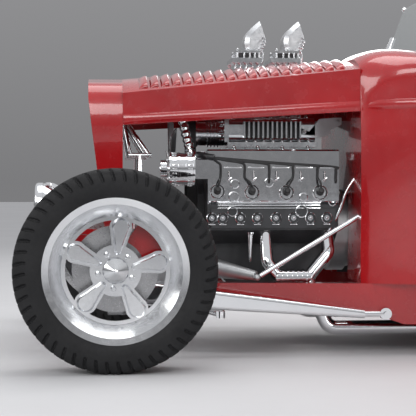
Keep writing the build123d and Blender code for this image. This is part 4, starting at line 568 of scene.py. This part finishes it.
def build_louvres():
    """Raises a row of pressed louvres, open at the back, on each side of the hood top."""
    low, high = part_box("hood_top")
    bm = bmesh.new()
    start, end = low.x + LOUVRE_ENDS[0], high.x - LOUVRE_ENDS[1]
    spans, steps = LOUVRE_GRID
    for _, sign in SIDES:
        for index in range(LOUVRES):
            x = between(start, end, (index + 0.5) / LOUVRES)
            half = between(*HOOD_HALF, (x - low.x) / (high.x - low.x))
            rows = []
            for i in range(spans + 1):
                v = i / spans
                y = sign * half * between(*LOUVRE_SPAN, v)
                swell = (1 - abs(2 * v - 1) ** 6) ** 0.5
                row = []
                for j in range(steps + 1):
                    u = j / steps
                    place, normal = hit("hood_top", (x + (u - 0.5) * LOUVRE_WIDTH, y, ABOVE), DOWN)
                    lift = LOUVRE_RISE * swell * math.sin(math.pi / 2 * u) ** 0.8
                    row.append(bm.verts.new(place + normal * (lift + LOUVRE_GAP)))
                rows.append(row)
            skin(bm, rows, closed=False)
    louvres = new_piece("hood_louvres", bm, RED)
    thick = louvres.modifiers.new("sheet", "SOLIDIFY")
    thick.thickness = LOUVRE_SHEET
    thick.offset = -1


# Belt: a rounded bead along the hood's lower edge and the body; mm behind the axle and up
BELT_BEADS = (
    # node, start and end, height at start and end, body
    ("hood_top", 36, 862, 826, 873, "chassis"),
    ("cowl", 868, 1186, 873, 880, "chassis"),
    ("door_{}", 1200, 1790, 880, 884, "door_{}"),
    ("rear_body", 1802, 2330, 884, 876, "chassis"),
)
BEAD_HALF = 17
BEAD_RISE = 6 * MM
BEAD_GAP = 0.3 * MM
BEAD_STEP = 50
BEAD_ROWS = 8
BESIDE = 1500  # from the middle, outside the whole car


def build_beads():
    """Runs a rounded bead along the hood's edge and on along the body below the belt."""
    for pattern, start, end, z_start, z_end, body in BELT_BEADS:
        for side, sign in SIDES:
            node = pattern.format(side)
            bm = bmesh.new()
            rows = []
            count = max(6, int((end - start) / BEAD_STEP))
            for i in range(count + 1):
                x, z = between(start, end, i / count), between(z_start, z_end, i / count)
                row = []
                for j in range(BEAD_ROWS + 1):
                    u = 2 * j / BEAD_ROWS - 1
                    place, normal = hit(node, at(x, sign * BESIDE, z + u * BEAD_HALF), (0, -sign, 0))
                    lift = BEAD_RISE * (1 - abs(u) ** 2.4) if 0 < i < count else 0.0
                    row.append(bm.verts.new(place + normal * (lift + BEAD_GAP)))
                rows.append(row)
            skin(bm, rows, closed=False)
            new_piece(f"belt_bead_{node}_{side}", bm, RED, body.format(side))


# Engine sides: plug wells with boots and leads, core plugs, ribs and rows of nuts; mm behind the axle and up
PLUG_WELLS = ((370, 571), (494, 569), (619, 567), (741, 567))
WELL_RIM = ((27, -2), (27, 5), (25, 7), (22, 5), (21, 0.5), (0, 0.3))
PLUG_BOOT = ((0, 0), (12, 0), (13, 4), (10, 8), (9, 24), (11, 26), (11, 31), (7, 36), (0, 37))
BOOT_LEAN = 0.25
LEAD_DROPS = (381, 468, 556, 642, 731, 798)
LEAD_DROP_Z = 622
LEADS_TO_WELLS = {0: 0, 1: 1, 3: 2, 4: 3}
LEAD_START = (338, 694)
LEAD_Y = 270
LEAD_BEND_Z = 672  # of the first lead; each next one bends LEAD_PITCH lower
LEAD_PITCH = 3.2
COVER_NUTS = (432, 517, 606, 699)
COVER_NUT_Y = 243
HOLD_DOWNS = (411, 500, 581, 669, 756)
HOLD_DOWN_Z = 612
CORE_PLUGS = (
    # place and radius
    (433, 598, 15), (556, 603, 15), (429, 552, 17), (681, 551, 14), (788, 534, 14), (424, 500, 16), (674, 500, 20),
)
PORT_NUTS = (350, 389, 453, 514, 581, 645, 706, 766)
PORT_NUT_Z = 476
PORT_RING = ((20, -1), (20, 5), (18, 7), (16, -1))
PORT_RIB_HALF = 13
PORT_RIB_Z = (451, 455)
SIDE_RIBS = (531, 521, 511)
SIDE_RIB_X = (372, 745)
COVER_RIBS = ((393, 457), (478, 538), (566, 629), (652, 715), (736, 799))
COVER_RIB_Z = 657
RIB_HALF = 2.5
RIB_BEVEL = 1.2
RIB_SINK, RIB_RISE = 2, 3
SIDE_RIB_RISE = 4
REAR_PIPE = ((886, 640), (842, 578), (812, 498), (776, 424))
REAR_PIPE_Y = 258


def engine_face(x, z, sign):
    """The outermost place on the engine's side."""
    found = []
    for node in ("cylinder_heads", "engine_block", "exhaust_headers"):
        place, _ = hit(node, at(x, sign * 1000, z), (0, -sign, 0))
        if place is not None:
            found.append(place)
    return max(found, key=lambda place: abs(place.y))


def add_side_nuts(bm, sign):
    """Adds the cover nuts, the nuts and rings at the ports, the hold-downs and the bent pipe behind the block."""
    out = Vector((0, sign, 0))
    for x in COVER_NUTS:
        place, _ = hit("cylinder_heads", at(x, sign * COVER_NUT_Y, ABOVE / MM), DOWN)
        add_hex_nut(bm, place, UP, 7, 11, 0.8)
    for x in PORT_NUTS:
        place = engine_face(x, PORT_NUT_Z, sign)
        add_lathe(bm, PORT_RING, stand(place, out), 28)
        add_hex_nut(bm, place, out, 7, 13)
    for x in HOLD_DOWNS:
        place = engine_face(x, HOLD_DOWN_Z, sign)
        foot = place + out * 5 * MM
        add_tube(bm, [foot, foot + mm(0, 0, 32)], 2.6, 10)
        add_hex_nut(bm, place, out, 6, 9)
        add_tube(bm, [foot, foot + mm(10, 0, 9)], 2, 8)
    line = [at(x, sign * REAR_PIPE_Y, z) for x, z in REAR_PIPE]
    line[-1] = engine_face(REAR_PIPE[-1][0], REAR_PIPE[-1][1] + 8, sign)
    add_tube(bm, curve_points(line, 40), 6, 14)


def add_side_plugs(bm, sign):
    """Adds the core plugs, the ribs and the rims of the plug wells."""
    out = Vector((0, sign, 0))
    for x, z, radius in CORE_PLUGS:
        dish = ((radius * 1.15, -2), (radius * 1.15, 2), (radius, 3), (radius * 0.88, -1))
        add_lathe(bm, dish, stand(engine_face(x, z, sign), out), 28)
    for z in SIDE_RIBS:
        face = abs(engine_face(SIDE_RIB_X[0], z, sign).y) / MM
        depths = (face, face + SIDE_RIB_RISE)
        add_bar(bm, sign, SIDE_RIB_X, depths, (z - RIB_HALF, z + RIB_HALF), RIB_BEVEL)
    for ends in COVER_RIBS:
        face = abs(engine_face(sum(ends) / 2, COVER_RIB_Z, sign).y) / MM
        heights = (COVER_RIB_Z - RIB_HALF, COVER_RIB_Z + RIB_HALF)
        add_bar(bm, sign, ends, (face - RIB_SINK, face + RIB_RISE), heights, RIB_BEVEL)
    for x in PORT_NUTS:
        face = abs(engine_face(x, sum(PORT_RIB_Z) / 2, sign).y) / MM
        ends = (x - PORT_RIB_HALF, x + PORT_RIB_HALF)
        add_bar(bm, sign, ends, (face - RIB_SINK, face + RIB_RISE), PORT_RIB_Z, 1)
    for x, z in PLUG_WELLS:
        add_lathe(bm, WELL_RIM, stand(engine_face(x, z, sign), out), 32)


def add_leads(bm, sign):
    """Adds the plug boots, and the leads that fan out to them and behind the block."""
    out = Vector((0, sign, 0))
    for x, z in PLUG_WELLS:
        add_lathe(bm, PLUG_BOOT, stand(engine_face(x, z, sign), out + Vector((0, 0, BOOT_LEAN))), 20)
    start = at(LEAD_START[0], sign * LEAD_Y, LEAD_START[1])
    for index, x in enumerate(LEAD_DROPS):
        bend = at(x, sign * LEAD_Y, LEAD_BEND_Z - LEAD_PITCH * index)
        low = at(x, sign * LEAD_Y, LEAD_DROP_Z)
        route = [start, start.lerp(bend, 0.5), bend + mm(-12, 0, 4), bend + mm(0, 0, -8), low]
        if index in LEADS_TO_WELLS:
            well = engine_face(*PLUG_WELLS[LEADS_TO_WELLS[index]], sign) + out * 27 * MM
            route += [low.lerp(well, 0.55) + mm(0, sign * 12, 12), well + mm(0, 0, 14), well]
        else:
            route += [low + mm(0, 0, -10), low + mm(0, -sign * 7, -20)]
        add_tube(bm, curve_points(route, 40), 4, 10)


def add_loom(bm, sign):
    """Adds the sleeve that the leads come out of."""
    start = at(LEAD_START[0], sign * LEAD_Y, LEAD_START[1])
    route = [start + mm(-30, -sign * 90, 10), start + mm(-12, -sign * 20, 4), start + mm(20, 0, -2)]
    add_tube(bm, curve_points(route, 12), 12, 14)


ENGINE_DRESS = (
    ("engine_nuts", add_side_nuts, CHROME, "chrome"),
    ("engine_plugs", add_side_plugs, POLISHED, "aluminium"),
    ("ignition_leads", add_leads, RUBBER, "rubber"),
    ("lead_loom", add_loom, BLACK, "black"),
)


def build_engine_sides():
    """Dresses both sides of the engine with what is bolted and plugged into them."""
    for side, sign in SIDES:
        for name, add, material, slot in ENGINE_DRESS:
            bm = bmesh.new()
            add(bm, sign)
            new_piece(f"{name}_{side}", bm, material)


# Supercharger: studs on top, bolts round its front plate, black strips of painted shade between its fins and a
# bracket behind; mm
STUDS = 8
STUD_X = (488, 720)
STUD_Y = 88
FLANGE_STUD_Y = 137
FLANGE_RISE = 30  # of the flange's top over the head covers
PLATE_BOLTS = 10
PLATE = (409, 797)
PLATE_REACH = (118, 36)  # across and up
SNOUT_RINGS = (352, 365, 378, 391)
SNOUT_Z = 786
SNOUT_RING = ((44, 0), (50, 2), (50, 6), (44, 8))
FINS = 13
FIN_X = (482, 690)
FIN_Z = (768, 826)
FIN_SHADE_HALF = 0.32  # of the fins' pitch: half the width of each black strip of painted shade
BRACKET = (
    (690, 784), (695, 804), (724, 792), (763, 838), (817, 843), (846, 843), (846, 817), (805, 799), (803, 781),
    (760, 767),
)
BRACKET_Y = (117, 128)
BRACKET_BOLTS = ((706, 790), (832, 830))


def build_blower():
    """Adds studs, rings and bolts to the supercharger's case, black strips of painted shade between its fins, and
    the brackets.
    """
    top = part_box("supercharger")[1].z / MM
    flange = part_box("cylinder_heads")[1].z / MM + FLANGE_RISE
    bm = bmesh.new()
    for index in range(STUDS):
        x = between(*STUD_X, index / (STUDS - 1))
        for _, sign in SIDES:
            add_hex_nut(bm, at(x, sign * STUD_Y, top), UP, 7, 13, 0.7)
            add_hex_nut(bm, at(x, sign * FLANGE_STUD_Y, flange), UP, 6, 9, 0.5)
    for angle in angles(PLATE_BOLTS):
        across, up = PLATE_REACH[0] * math.cos(angle), PLATE_REACH[1] * math.sin(angle)
        add_hex_nut(bm, at(PLATE[0], across, PLATE[1] + up), FORWARD, 6, 9)
    for x in SNOUT_RINGS:
        add_lathe(bm, SNOUT_RING, stand(at(x, 0, SNOUT_Z), BACKWARD), 40)
    new_piece("supercharger_fittings", bm, POLISHED)

    # Black strips of painted shade between the fins: a dark colour put in the gaps to stand in for the shade that
    # falls there.
    fin_shade = bmesh.new()
    pitch = (FIN_X[1] - FIN_X[0]) / (FINS - 1)
    half = pitch * FIN_SHADE_HALF
    for index in range(FINS - 1):
        x = FIN_X[0] + pitch * (index + 0.5)
        for _, sign in SIDES:
            place, _ = hit("supercharger", at(x, sign * 300, sum(FIN_Z) / 2), (0, -sign, 0))
            face = abs(place.y) / MM
            add_bar(fin_shade, sign, (x - half, x + half), (face - 2, face + 0.8), FIN_Z, 0.5)
    new_piece("supercharger_painted_fin_shade", fin_shade, BLACK)

    plates = bmesh.new()
    for _, sign in SIDES:
        faces = [[plates.verts.new(at(x, sign * y, z)) for x, z in BRACKET] for y in BRACKET_Y]
        skin(plates, faces, ends=True)
        for x, z in BRACKET_BOLTS:
            add_hex_nut(plates, at(x, sign * BRACKET_Y[1], z), (0, sign, 0), 6, 9)
    bracket = new_piece("throttle_brackets", plates, CAST, smooth=False)
    edge = bracket.modifiers.new("edge", "BEVEL")
    edge.width = 1.5 * MM
    edge.segments = 2


# Radiator hose with its ribs and clamps; the route is the hose's own, in mm from the axle, middle and ground
HOSE_ROUTE = (
    (34, -120, 880), (120, -120, 880), (204, -120, 880), (233, -122, 873), (250, -129, 850), (264, -147, 787),
    (277, -162, 732), (288, -171, 703), (306, -175, 691), (336, -175, 690),
)
HOSE_STEPS = 150
HOSE_RADIUS = 16.5
HOSE_RIB = 2.4
HOSE_RIB_STEPS = 6
HOSE_RIBBED = (0.12, 0.9)  # shares of the length
CLAMP_STEPS = (7, HOSE_STEPS - 7)
CLAMP = ((17, -6), (20.5, -6), (20.5, 6), (17, 6))


def build_hose():
    """Puts a ribbed hose with clamps in place of the plain one."""
    line = curve_points([at(*point) for point in HOSE_ROUTE], HOSE_STEPS)
    radii = []
    for step in range(HOSE_STEPS + 1):
        ribbed = HOSE_RIBBED[0] < step / HOSE_STEPS < HOSE_RIBBED[1]
        wave = math.sin(2 * math.pi * step / HOSE_RIB_STEPS) if ribbed else 0.0
        radii.append(HOSE_RADIUS + HOSE_RIB * wave)
    bm = bmesh.new()
    add_tube(bm, line, radii, 20, Vector((0, 1, 0)))
    hose = new_piece("ribbed_hose", bm, CHROME)
    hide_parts("radiator_hose")
    clamps = bmesh.new()
    for step in CLAMP_STEPS:
        place = stand(line[step], line[step + 1] - line[step - 1])
        add_lathe(clamps, CLAMP, place, 28)
        add_box(clamps, (-5, 18, -6), (5, 28, 6), 1.5, place)
    new_piece("hose_clamps", clamps, STEEL)


# Alternator: slots round its body, a finned pulley and through bolts; mm
ALTERNATOR = (-272, 650)  # across and up
ALTERNATOR_X = (196, 286)
BODY_RING = ((56, 0), (60, 1), (60, 7), (56, 8))
BODY_SLOTS = 24
SLOT_REACH = 58
BOLT_REACH = 46
PULLEY_RING = ((26, 0), (34, 1), (34, 3), (26, 4))


def build_alternator():
    """Adds ventilation slots, end rings, bolts and a pulley's grooves to the alternator."""
    bm = bmesh.new()
    front, back = ALTERNATOR_X
    for x in (front, front + 30, back - 34, back - 8):
        add_lathe(bm, BODY_RING, stand(at(x, *ALTERNATOR), BACKWARD), 48)
    for angle in angles(BODY_SLOTS):
        reach = mm(0, SLOT_REACH * math.cos(angle), SLOT_REACH * math.sin(angle))
        for x in (front + 9, back - 25):
            slot = turned(at(x, *ALTERNATOR) + reach, angle - math.pi / 2)
            add_box(bm, (0, -2.6, -1), (16, 2.6, 2.2), 0.8, slot)
    for angle in angles(4, 0.5):
        reach = mm(0, BOLT_REACH * math.cos(angle), BOLT_REACH * math.sin(angle))
        add_hex_nut(bm, at(front, *ALTERNATOR) + reach, FORWARD, 5, 8)
    for x in (front - 30, front - 23, front - 16):
        add_lathe(bm, PULLEY_RING, stand(at(x, *ALTERNATOR), BACKWARD), 40)
    new_piece("alternator_fittings", bm, CHROME)


# Carburettors and scoops: slats in the side windows, posts between the plates, throttle levers and a pipe behind;
# mm from a carburettor's middle and up
CARB_X = (503, 650)
SCOOP_SLATS = (((46, 1110), (63, 1105)), ((51, 1123), (66, 1115)), ((59, 1135), (69, 1127)))
SLAT_Y = 56
PLATE_POSTS = (-39, -14, 7, 26, 43)
PLATES_Z = (1066, 1086)
POST_Y = 75
POST = ((0, 0), (6, 0), (6, 2), (4, 4), (4, 16), (6, 18), (6, 20), (0, 20))
SCREEN_HALF = 37
SCREEN_Y = (70.2, 71.2)
LEVERS = (-57, -38, -16, 7, 30)
LEVER_Y = 83
LEVER_ROUTE = ((0, 1052), (3, 1047), (9, 1043), (10, 1034), (8, 1026))
FEED_PIPE = ((52, 1098), (58, 1082), (57, 1062), (52, 1046), (44, 1034))
FEED_PIPE_Y = 58
SCOOP_NUTS = (-40, 0, 40)
SCOOP_NUT_Y = 78
SCOOP_NUT_Z = 1094
OIL_PIN_FOOT = (492, 235, 424)
OIL_PIN = ((0, 0), (13, 0), (13, 6), (10, 8), (7, 60), (5, 104), (3, 107), (0, 107))


def build_scoops():
    """Adds what shows on and under the scoops, and the pin that hangs below the block."""
    bright, dark = bmesh.new(), bmesh.new()
    for x in CARB_X:
        for _, sign in SIDES:
            for (x0, z0), (x1, z1) in SCOOP_SLATS:
                one, other = at(x + x0, sign * SLAT_Y, z0), at(x + x1, sign * SLAT_Y, z1)
                turn = turned((one + other) / 2, math.atan2(z0 - z1, x1 - x0), "Y")
                half = (other - one).length / 2 / MM
                add_box(bright, (-half, -6, -1.8), (half, 5, 1.8), 0.8, turn)
            for post in PLATE_POSTS:
                add_lathe(bright, POST, stand(at(x + post, sign * POST_Y, PLATES_Z[0]), UP), 16)
            heights = (PLATES_Z[0] + 1, PLATES_Z[1] - 1)
            add_bar(dark, sign, (x - SCREEN_HALF, x + SCREEN_HALF), SCREEN_Y, heights, 0.3)
            for lever in LEVERS:
                route = [at(x + lever + along, sign * LEVER_Y, z) for along, z in LEVER_ROUTE]
                add_tube(bright, curve_points(route, 14), 2.8, 10)
            pipe = [at(x + along, sign * FEED_PIPE_Y, z) for along, z in FEED_PIPE]
            add_tube(bright, curve_points(pipe, 20), 3.6, 10)
            for along in SCOOP_NUTS:
                add_hex_nut(bright, at(x + along, sign * SCOOP_NUT_Y, SCOOP_NUT_Z), UP, 4, 7, 0.7)
    for _, sign in SIDES:
        x, y, z = OIL_PIN_FOOT
        add_lathe(bright, OIL_PIN, stand(at(x, sign * y, z), DOWN), 20)
    new_piece("scoop_fittings", bright, CHROME)
    new_piece("carburettor_screens", dark, BLACK)


# Seat: a bench sewn in channels over a covered base, with piping at its ends; sections in mm behind the axle and up
CUSHION_SECTION = (
    (1800, 475), (1660, 475), (1630, 481), (1622, 502), (1638, 523), (1690, 531), (1820, 526), (1950, 512),
    (1988, 503), (1994, 490), (1980, 478),
)
BACK_SECTION = (
    (2066, 478), (2012, 484), (2000, 514), (2014, 610), (2038, 725), (2062, 835), (2084, 896), (2122, 923),
    (2164, 912), (2174, 884), (2158, 720), (2144, 570), (2128, 486),
)
BASE_SECTION = (
    (1880, 264), (1664, 266), (1643, 280), (1634, 370), (1628, 452), (1640, 468), (1700, 472), (2050, 472),
    (2112, 468), (2122, 440), (2116, 300), (2104, 268),
)
SECTION_DETAIL = 6  # points for each one given
SEAT_HALF = 478
BASE_INNER = 98
BASE_INSET = 4
CHANNELS = 16
CHANNEL_DEPTH = 10
CHANNEL_STEPS = 10
CHANNEL_SPREAD = 1.5  # how soon the channels fade where a pad turns down or back
SEAT_EDGE = 24
EDGE_DRAW = 0.8  # of the edge's width, drawn in at a pad's ends
PIPING_INSET = 11
PIPING_SINK = 2


def seat_loop(section):
    """A closed smooth section in mm, and the way out of it at each point."""
    knots = [(x, 0, z) for x, z in section + section[:1]]
    loop = curve_points(knots, SECTION_DETAIL * len(section))[:-1]
    area = sum(a.x * b.z - b.x * a.z for a, b in zip(loop, loop[1:] + loop[:1]))
    outward = []
    for k in range(len(loop)):
        ahead = loop[(k + 1) % len(loop)] - loop[k - 1]
        outward.append(Vector((ahead.z, 0, -ahead.x)).normalized() * (1 if area > 0 else -1))
    return loop, outward


def add_pad(bm, section, start, end, channels):
    """Adds a stuffed form: a section carried across the car, sewn in channels and drawn in at its ends."""
    loop, outward = seat_loop(section)
    count = max(channels * CHANNEL_STEPS, 24)
    rows = []
    for i in range(count + 1):
        y = between(start, end, i / count)
        rim = max(0.0, 1 - min(y - start, end - y) / SEAT_EDGE)
        inset = SEAT_EDGE * EDGE_DRAW * (1 - math.sqrt(1 - rim * rim))
        seam = abs(math.sin(math.pi * channels * i / count)) ** 0.5 if channels else 1.0
        row = []
        for point, out in zip(loop, outward):
            shown = clamp((out.z - out.x) * CHANNEL_SPREAD)
            place = point - out * (inset + CHANNEL_DEPTH * (1 - seam) * shown)
            row.append(bm.verts.new(at(place.x, y, place.z)))
        rows.append(row)
    skin(bm, rows, ends=True)


def add_piping(bm, section, y):
    """Adds a sewn cord's cover round a section at one end of a pad."""
    ring = []
    for point, out in zip(*seat_loop(section)):
        place = point - out * PIPING_SINK
        ring.append(at(place.x, y, place.z))
    add_tube(bm, ring + ring[:2], 4, 8)


def build_seat():
    """Puts an upholstered bench in place of the plain seat."""
    for name, section in (("seat_cushion", CUSHION_SECTION), ("seat_back", BACK_SECTION)):
        bm = bmesh.new()
        add_pad(bm, section, -SEAT_HALF, SEAT_HALF, CHANNELS)
        pad = new_piece(name, bm, LEATHER)
        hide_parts("seat")
    base, piping = bmesh.new(), bmesh.new()
    for _, sign in SIDES:
        inner, outer = sorted((sign * BASE_INNER, sign * (SEAT_HALF - BASE_INSET)))
        add_pad(base, BASE_SECTION, inner, outer, 0)
        for section in (CUSHION_SECTION, BACK_SECTION):
            add_piping(piping, section, sign * (SEAT_HALF - PIPING_INSET))
    new_piece("seat_base", base, LEATHER)
    new_piece("seat_piping", piping, BLACK)


# Side panels: sewn covers inside the doors and beside the seat; mm behind the axle and up
PANELS = (
    # name, node, start, end, body
    ("door_panel", "door_{}", 1230, 1762, "door_{}"),
    ("quarter_panel", "rear_body", 1816, 2236, "chassis"),
)
PANEL_Z = (392, 905)
PANEL_CHANNEL = 48
PANEL_GRID = (8, 24)  # steps for each channel, and up
PANEL_RISE = 6
PANEL_GAP = 0.8
PANEL_SHEET = 0.7 * MM


def build_side_panels():
    """Adds a sewn panel to the inner face of each door and of the body behind it."""
    for name, node, start, end, body in PANELS:
        channels = round((end - start) / PANEL_CHANNEL)
        count = channels * PANEL_GRID[0]
        for side, sign in SIDES:
            bm = bmesh.new()
            rows = []
            for i in range(count + 1):
                x = between(start, end, i / count)
                roll = abs(math.sin(math.pi * channels * i / count)) ** 0.5
                row = []
                for j in range(PANEL_GRID[1] + 1):
                    up = j / PANEL_GRID[1]
                    place, normal = hit(node.format(side), at(x, 0, between(*PANEL_Z, up)), (0, sign, 0))
                    fade = 1 - abs(2 * up - 1) ** 12
                    row.append(bm.verts.new(place + normal * (PANEL_GAP + PANEL_RISE * roll * fade) * MM))
                rows.append(row)
            skin(bm, rows, closed=False)
            panel = new_piece(f"{name}_{side}", bm, LEATHER, body.format(side))
            thick = panel.modifiers.new("sheet", "SOLIDIFY")
            thick.thickness = PANEL_SHEET


# Lamps: rims, bulb shields and fluted lenses in front, and rims behind; mm behind the axle, across and up
HEADLAMP = (-256, 372, 523)
HEADLAMP_RIM = ((69, 0.5), (70, 9), (74, 12), (79, 8), (80.5, 2), (80.5, -14), (77.5, -16))
BULB_SHIELD = ((17, 0), (17, 2), (14, 3.5), (8, 5), (0, 5.5))
HEADLAMP_LENS = ((70, 6.5), (60, 10), (45, 14), (25, 17), (0, 18))
TAIL_LAMP = (300, 650)  # across and up
TAIL_LAMP_RIM = ((35, -6), (36, 2), (39, 4), (44, 2), (47, -6), (48, -16))


def build_lamps():
    """Adds rims, lenses and bulb shields to the headlamps, and rims to the tail lamps."""
    rims, lenses, tails = bmesh.new(), bmesh.new(), bmesh.new()
    tail_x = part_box("tail_lamps")[1].x
    for _, sign in SIDES:
        face = stand(at(HEADLAMP[0], sign * HEADLAMP[1], HEADLAMP[2]), FORWARD)
        add_lathe(rims, HEADLAMP_RIM, face, 72)
        add_lathe(rims, BULB_SHIELD, face, 32)
        add_lathe(lenses, HEADLAMP_LENS, face, 72)
        back = stand((tail_x, sign * TAIL_LAMP[0] * MM, TAIL_LAMP[1] * MM), BACKWARD)
        add_lathe(tails, TAIL_LAMP_RIM, back, 48)
    new_piece("headlamp_rims", rims, CHROME)
    new_piece("headlamp_lenses", lenses, LENS)
    new_piece("tail_lamp_rims", tails, CHROME)


# Inside: dials, horn button, gear lever with its boot, and door handles outside; mm
DIALS = ((-415, 930, 46), (-250, 930, 46), (-90, 930, 32), (0, 930, 32), (90, 930, 32))
DIAL_X = 1400  # a place behind the dashboard's face
DIAL_SWEEP = (-130, 130)
DIAL_TICKS = 10
TICK_EDGE = 8
HAND_WHEEL = (1440, -330, 821)
COLUMN_SLOPE = 30.6
HORN = ((36, -1), (36, 3), (32, 7), (27, 8), (25, 6), (21, 8), (11, 12), (0, 13))
SPOKE_HOLE = ((8, 2.6), (8, 4), (6, 4), (5, 3.1), (0, 3.1))
LEVER_FOOT = (1425, 0, 900)
LEVER_BENDS = ((0, 0, 20), (4, 0, 100), (30, 0, 200), (35, 0, 270))
LEVER_BOOT = (
    (48, -1), (48, 4), (40, 8), (36, 16), (30, 18), (28, 28), (22, 30), (20, 40), (15, 42), (12, 56), (8, 58),
)
LEVER_KNOB = ((6, -2), (11, 0), (19, 10), (22, 20), (19, 31), (11, 38), (0, 41))
HANDLE = (1738, 800)  # behind the axle and up
HANDLE_STEM = ((0, -1), (17, -1), (17, 2), (13, 5), (9, 8), (8, 14), (8, 30), (10, 34), (6, 38), (0, 39))
HANDLE_REACH = 31
HANDLE_BENDS = ((0, 0, 0), (-30, 0, 2), (-66, 4, 0), (-95, 10, -4))  # along, inward, up
HANDLE_END = ((0, -7), (6, -5), (8, 0), (6, 5), (0, 7))


def build_dials():
    """Adds round dials with plain ticks and a needle to the dashboard."""
    rims, faces, ticks, needles = bmesh.new(), bmesh.new(), bmesh.new(), bmesh.new()
    for index, (y, z, radius) in enumerate(DIALS):
        place, _ = hit("dashboard", at(DIAL_X, y, z), FORWARD)
        face = stand(place, BACKWARD)
        ring = ((radius, -1), (radius, 6), (radius - 2, 8), (radius - 5, 7), (radius - 6, 2))
        add_lathe(rims, ring, face, 48)
        add_lathe(faces, ((radius - 5, 1.5), (6, 1.8), (0, 1.8)), face, 48)
        outer = radius - TICK_EDGE
        for tick in range(DIAL_TICKS + 1):
            turn = turned(place, math.radians(between(*DIAL_SWEEP, tick / DIAL_TICKS)))
            length = 7 if tick % 5 == 0 else 4
            add_box(ticks, (1.6, -0.7, outer - length), (2.4, 0.7, outer), 0, turn)
        turn = turned(place, math.radians(-70 + 35 * index))
        add_box(needles, (2.6, -0.9, -6), (3.6, 0.9, radius - 12), 0.3, turn)
        add_lathe(ticks, ((4, 1.6), (4, 4.5), (0, 5)), face, 20)
    new_piece("dial_rims", rims, CHROME)
    new_piece("dial_faces", faces, GAUGE)
    new_piece("dial_ticks", ticks, BLACK)
    new_piece("dial_needles", needles, TAIL_RED)


def build_controls():
    """Adds the horn button, the gear lever and the door handles."""
    slope = math.radians(COLUMN_SLOPE)
    aim = Vector((math.cos(slope), 0, math.sin(slope)))
    hub = at(*HAND_WHEEL)
    horn = bmesh.new()
    add_lathe(horn, HORN, stand(hub + aim * 6 * MM, aim), 48)
    for spoke in (90, 210, 330):
        angle = math.radians(spoke)
        across = Vector((0, 1, 0)) * math.cos(angle) + aim.cross(Vector((0, 1, 0))) * math.sin(angle)
        for reach in (70, 105, 140):
            add_lathe(horn, SPOKE_HOLE, stand(hub + across * reach * MM, aim), 20)
    new_piece("horn_button", horn, CHROME, "steering_wheel")

    foot, _ = hit("floor", at(*LEVER_FOOT), DOWN)
    lever, boot, knob = bmesh.new(), bmesh.new(), bmesh.new()
    add_lathe(boot, LEVER_BOOT, stand(foot, UP), 40)
    shaft = [foot + mm(*bend) for bend in LEVER_BENDS]
    add_tube(lever, curve_points(shaft, 24), 6, 14)
    add_lathe(knob, LEVER_KNOB, stand(shaft[-1], UP), 32)
    new_piece("gear_lever", lever, CHROME)
    new_piece("gear_lever_boot", boot, RUBBER)
    new_piece("gear_lever_knob", knob, BLACK)

    for side, sign in SIDES:
        handle = bmesh.new()
        place, normal = hit(f"door_{side}", at(HANDLE[0], sign * BESIDE, HANDLE[1]), (0, -sign, 0))
        add_lathe(handle, HANDLE_STEM, stand(place, normal), 32)
        grip = place + normal * HANDLE_REACH * MM
        bends = [grip + mm(x, -sign * y, z) for x, y, z in HANDLE_BENDS]
        add_tube(handle, curve_points(bends, 20), 6.5, 14)
        add_lathe(handle, HANDLE_END, stand(bends[-1], BACKWARD), 20)
        new_piece(f"door_handle_{side}", handle, CHROME, f"door_{side}")


dress_nodes()
place_camera()
light_studio()
for axle_end in ("front", "rear"):
    for wheel_side, _ in SIDES:
        build_tyre(axle_end, wheel_side)
build_louvres()
build_beads()
build_engine_sides()
build_blower()
build_hose()
build_alternator()
build_scoops()
build_seat()
build_side_panels()
build_lamps()
build_dials()
build_controls()
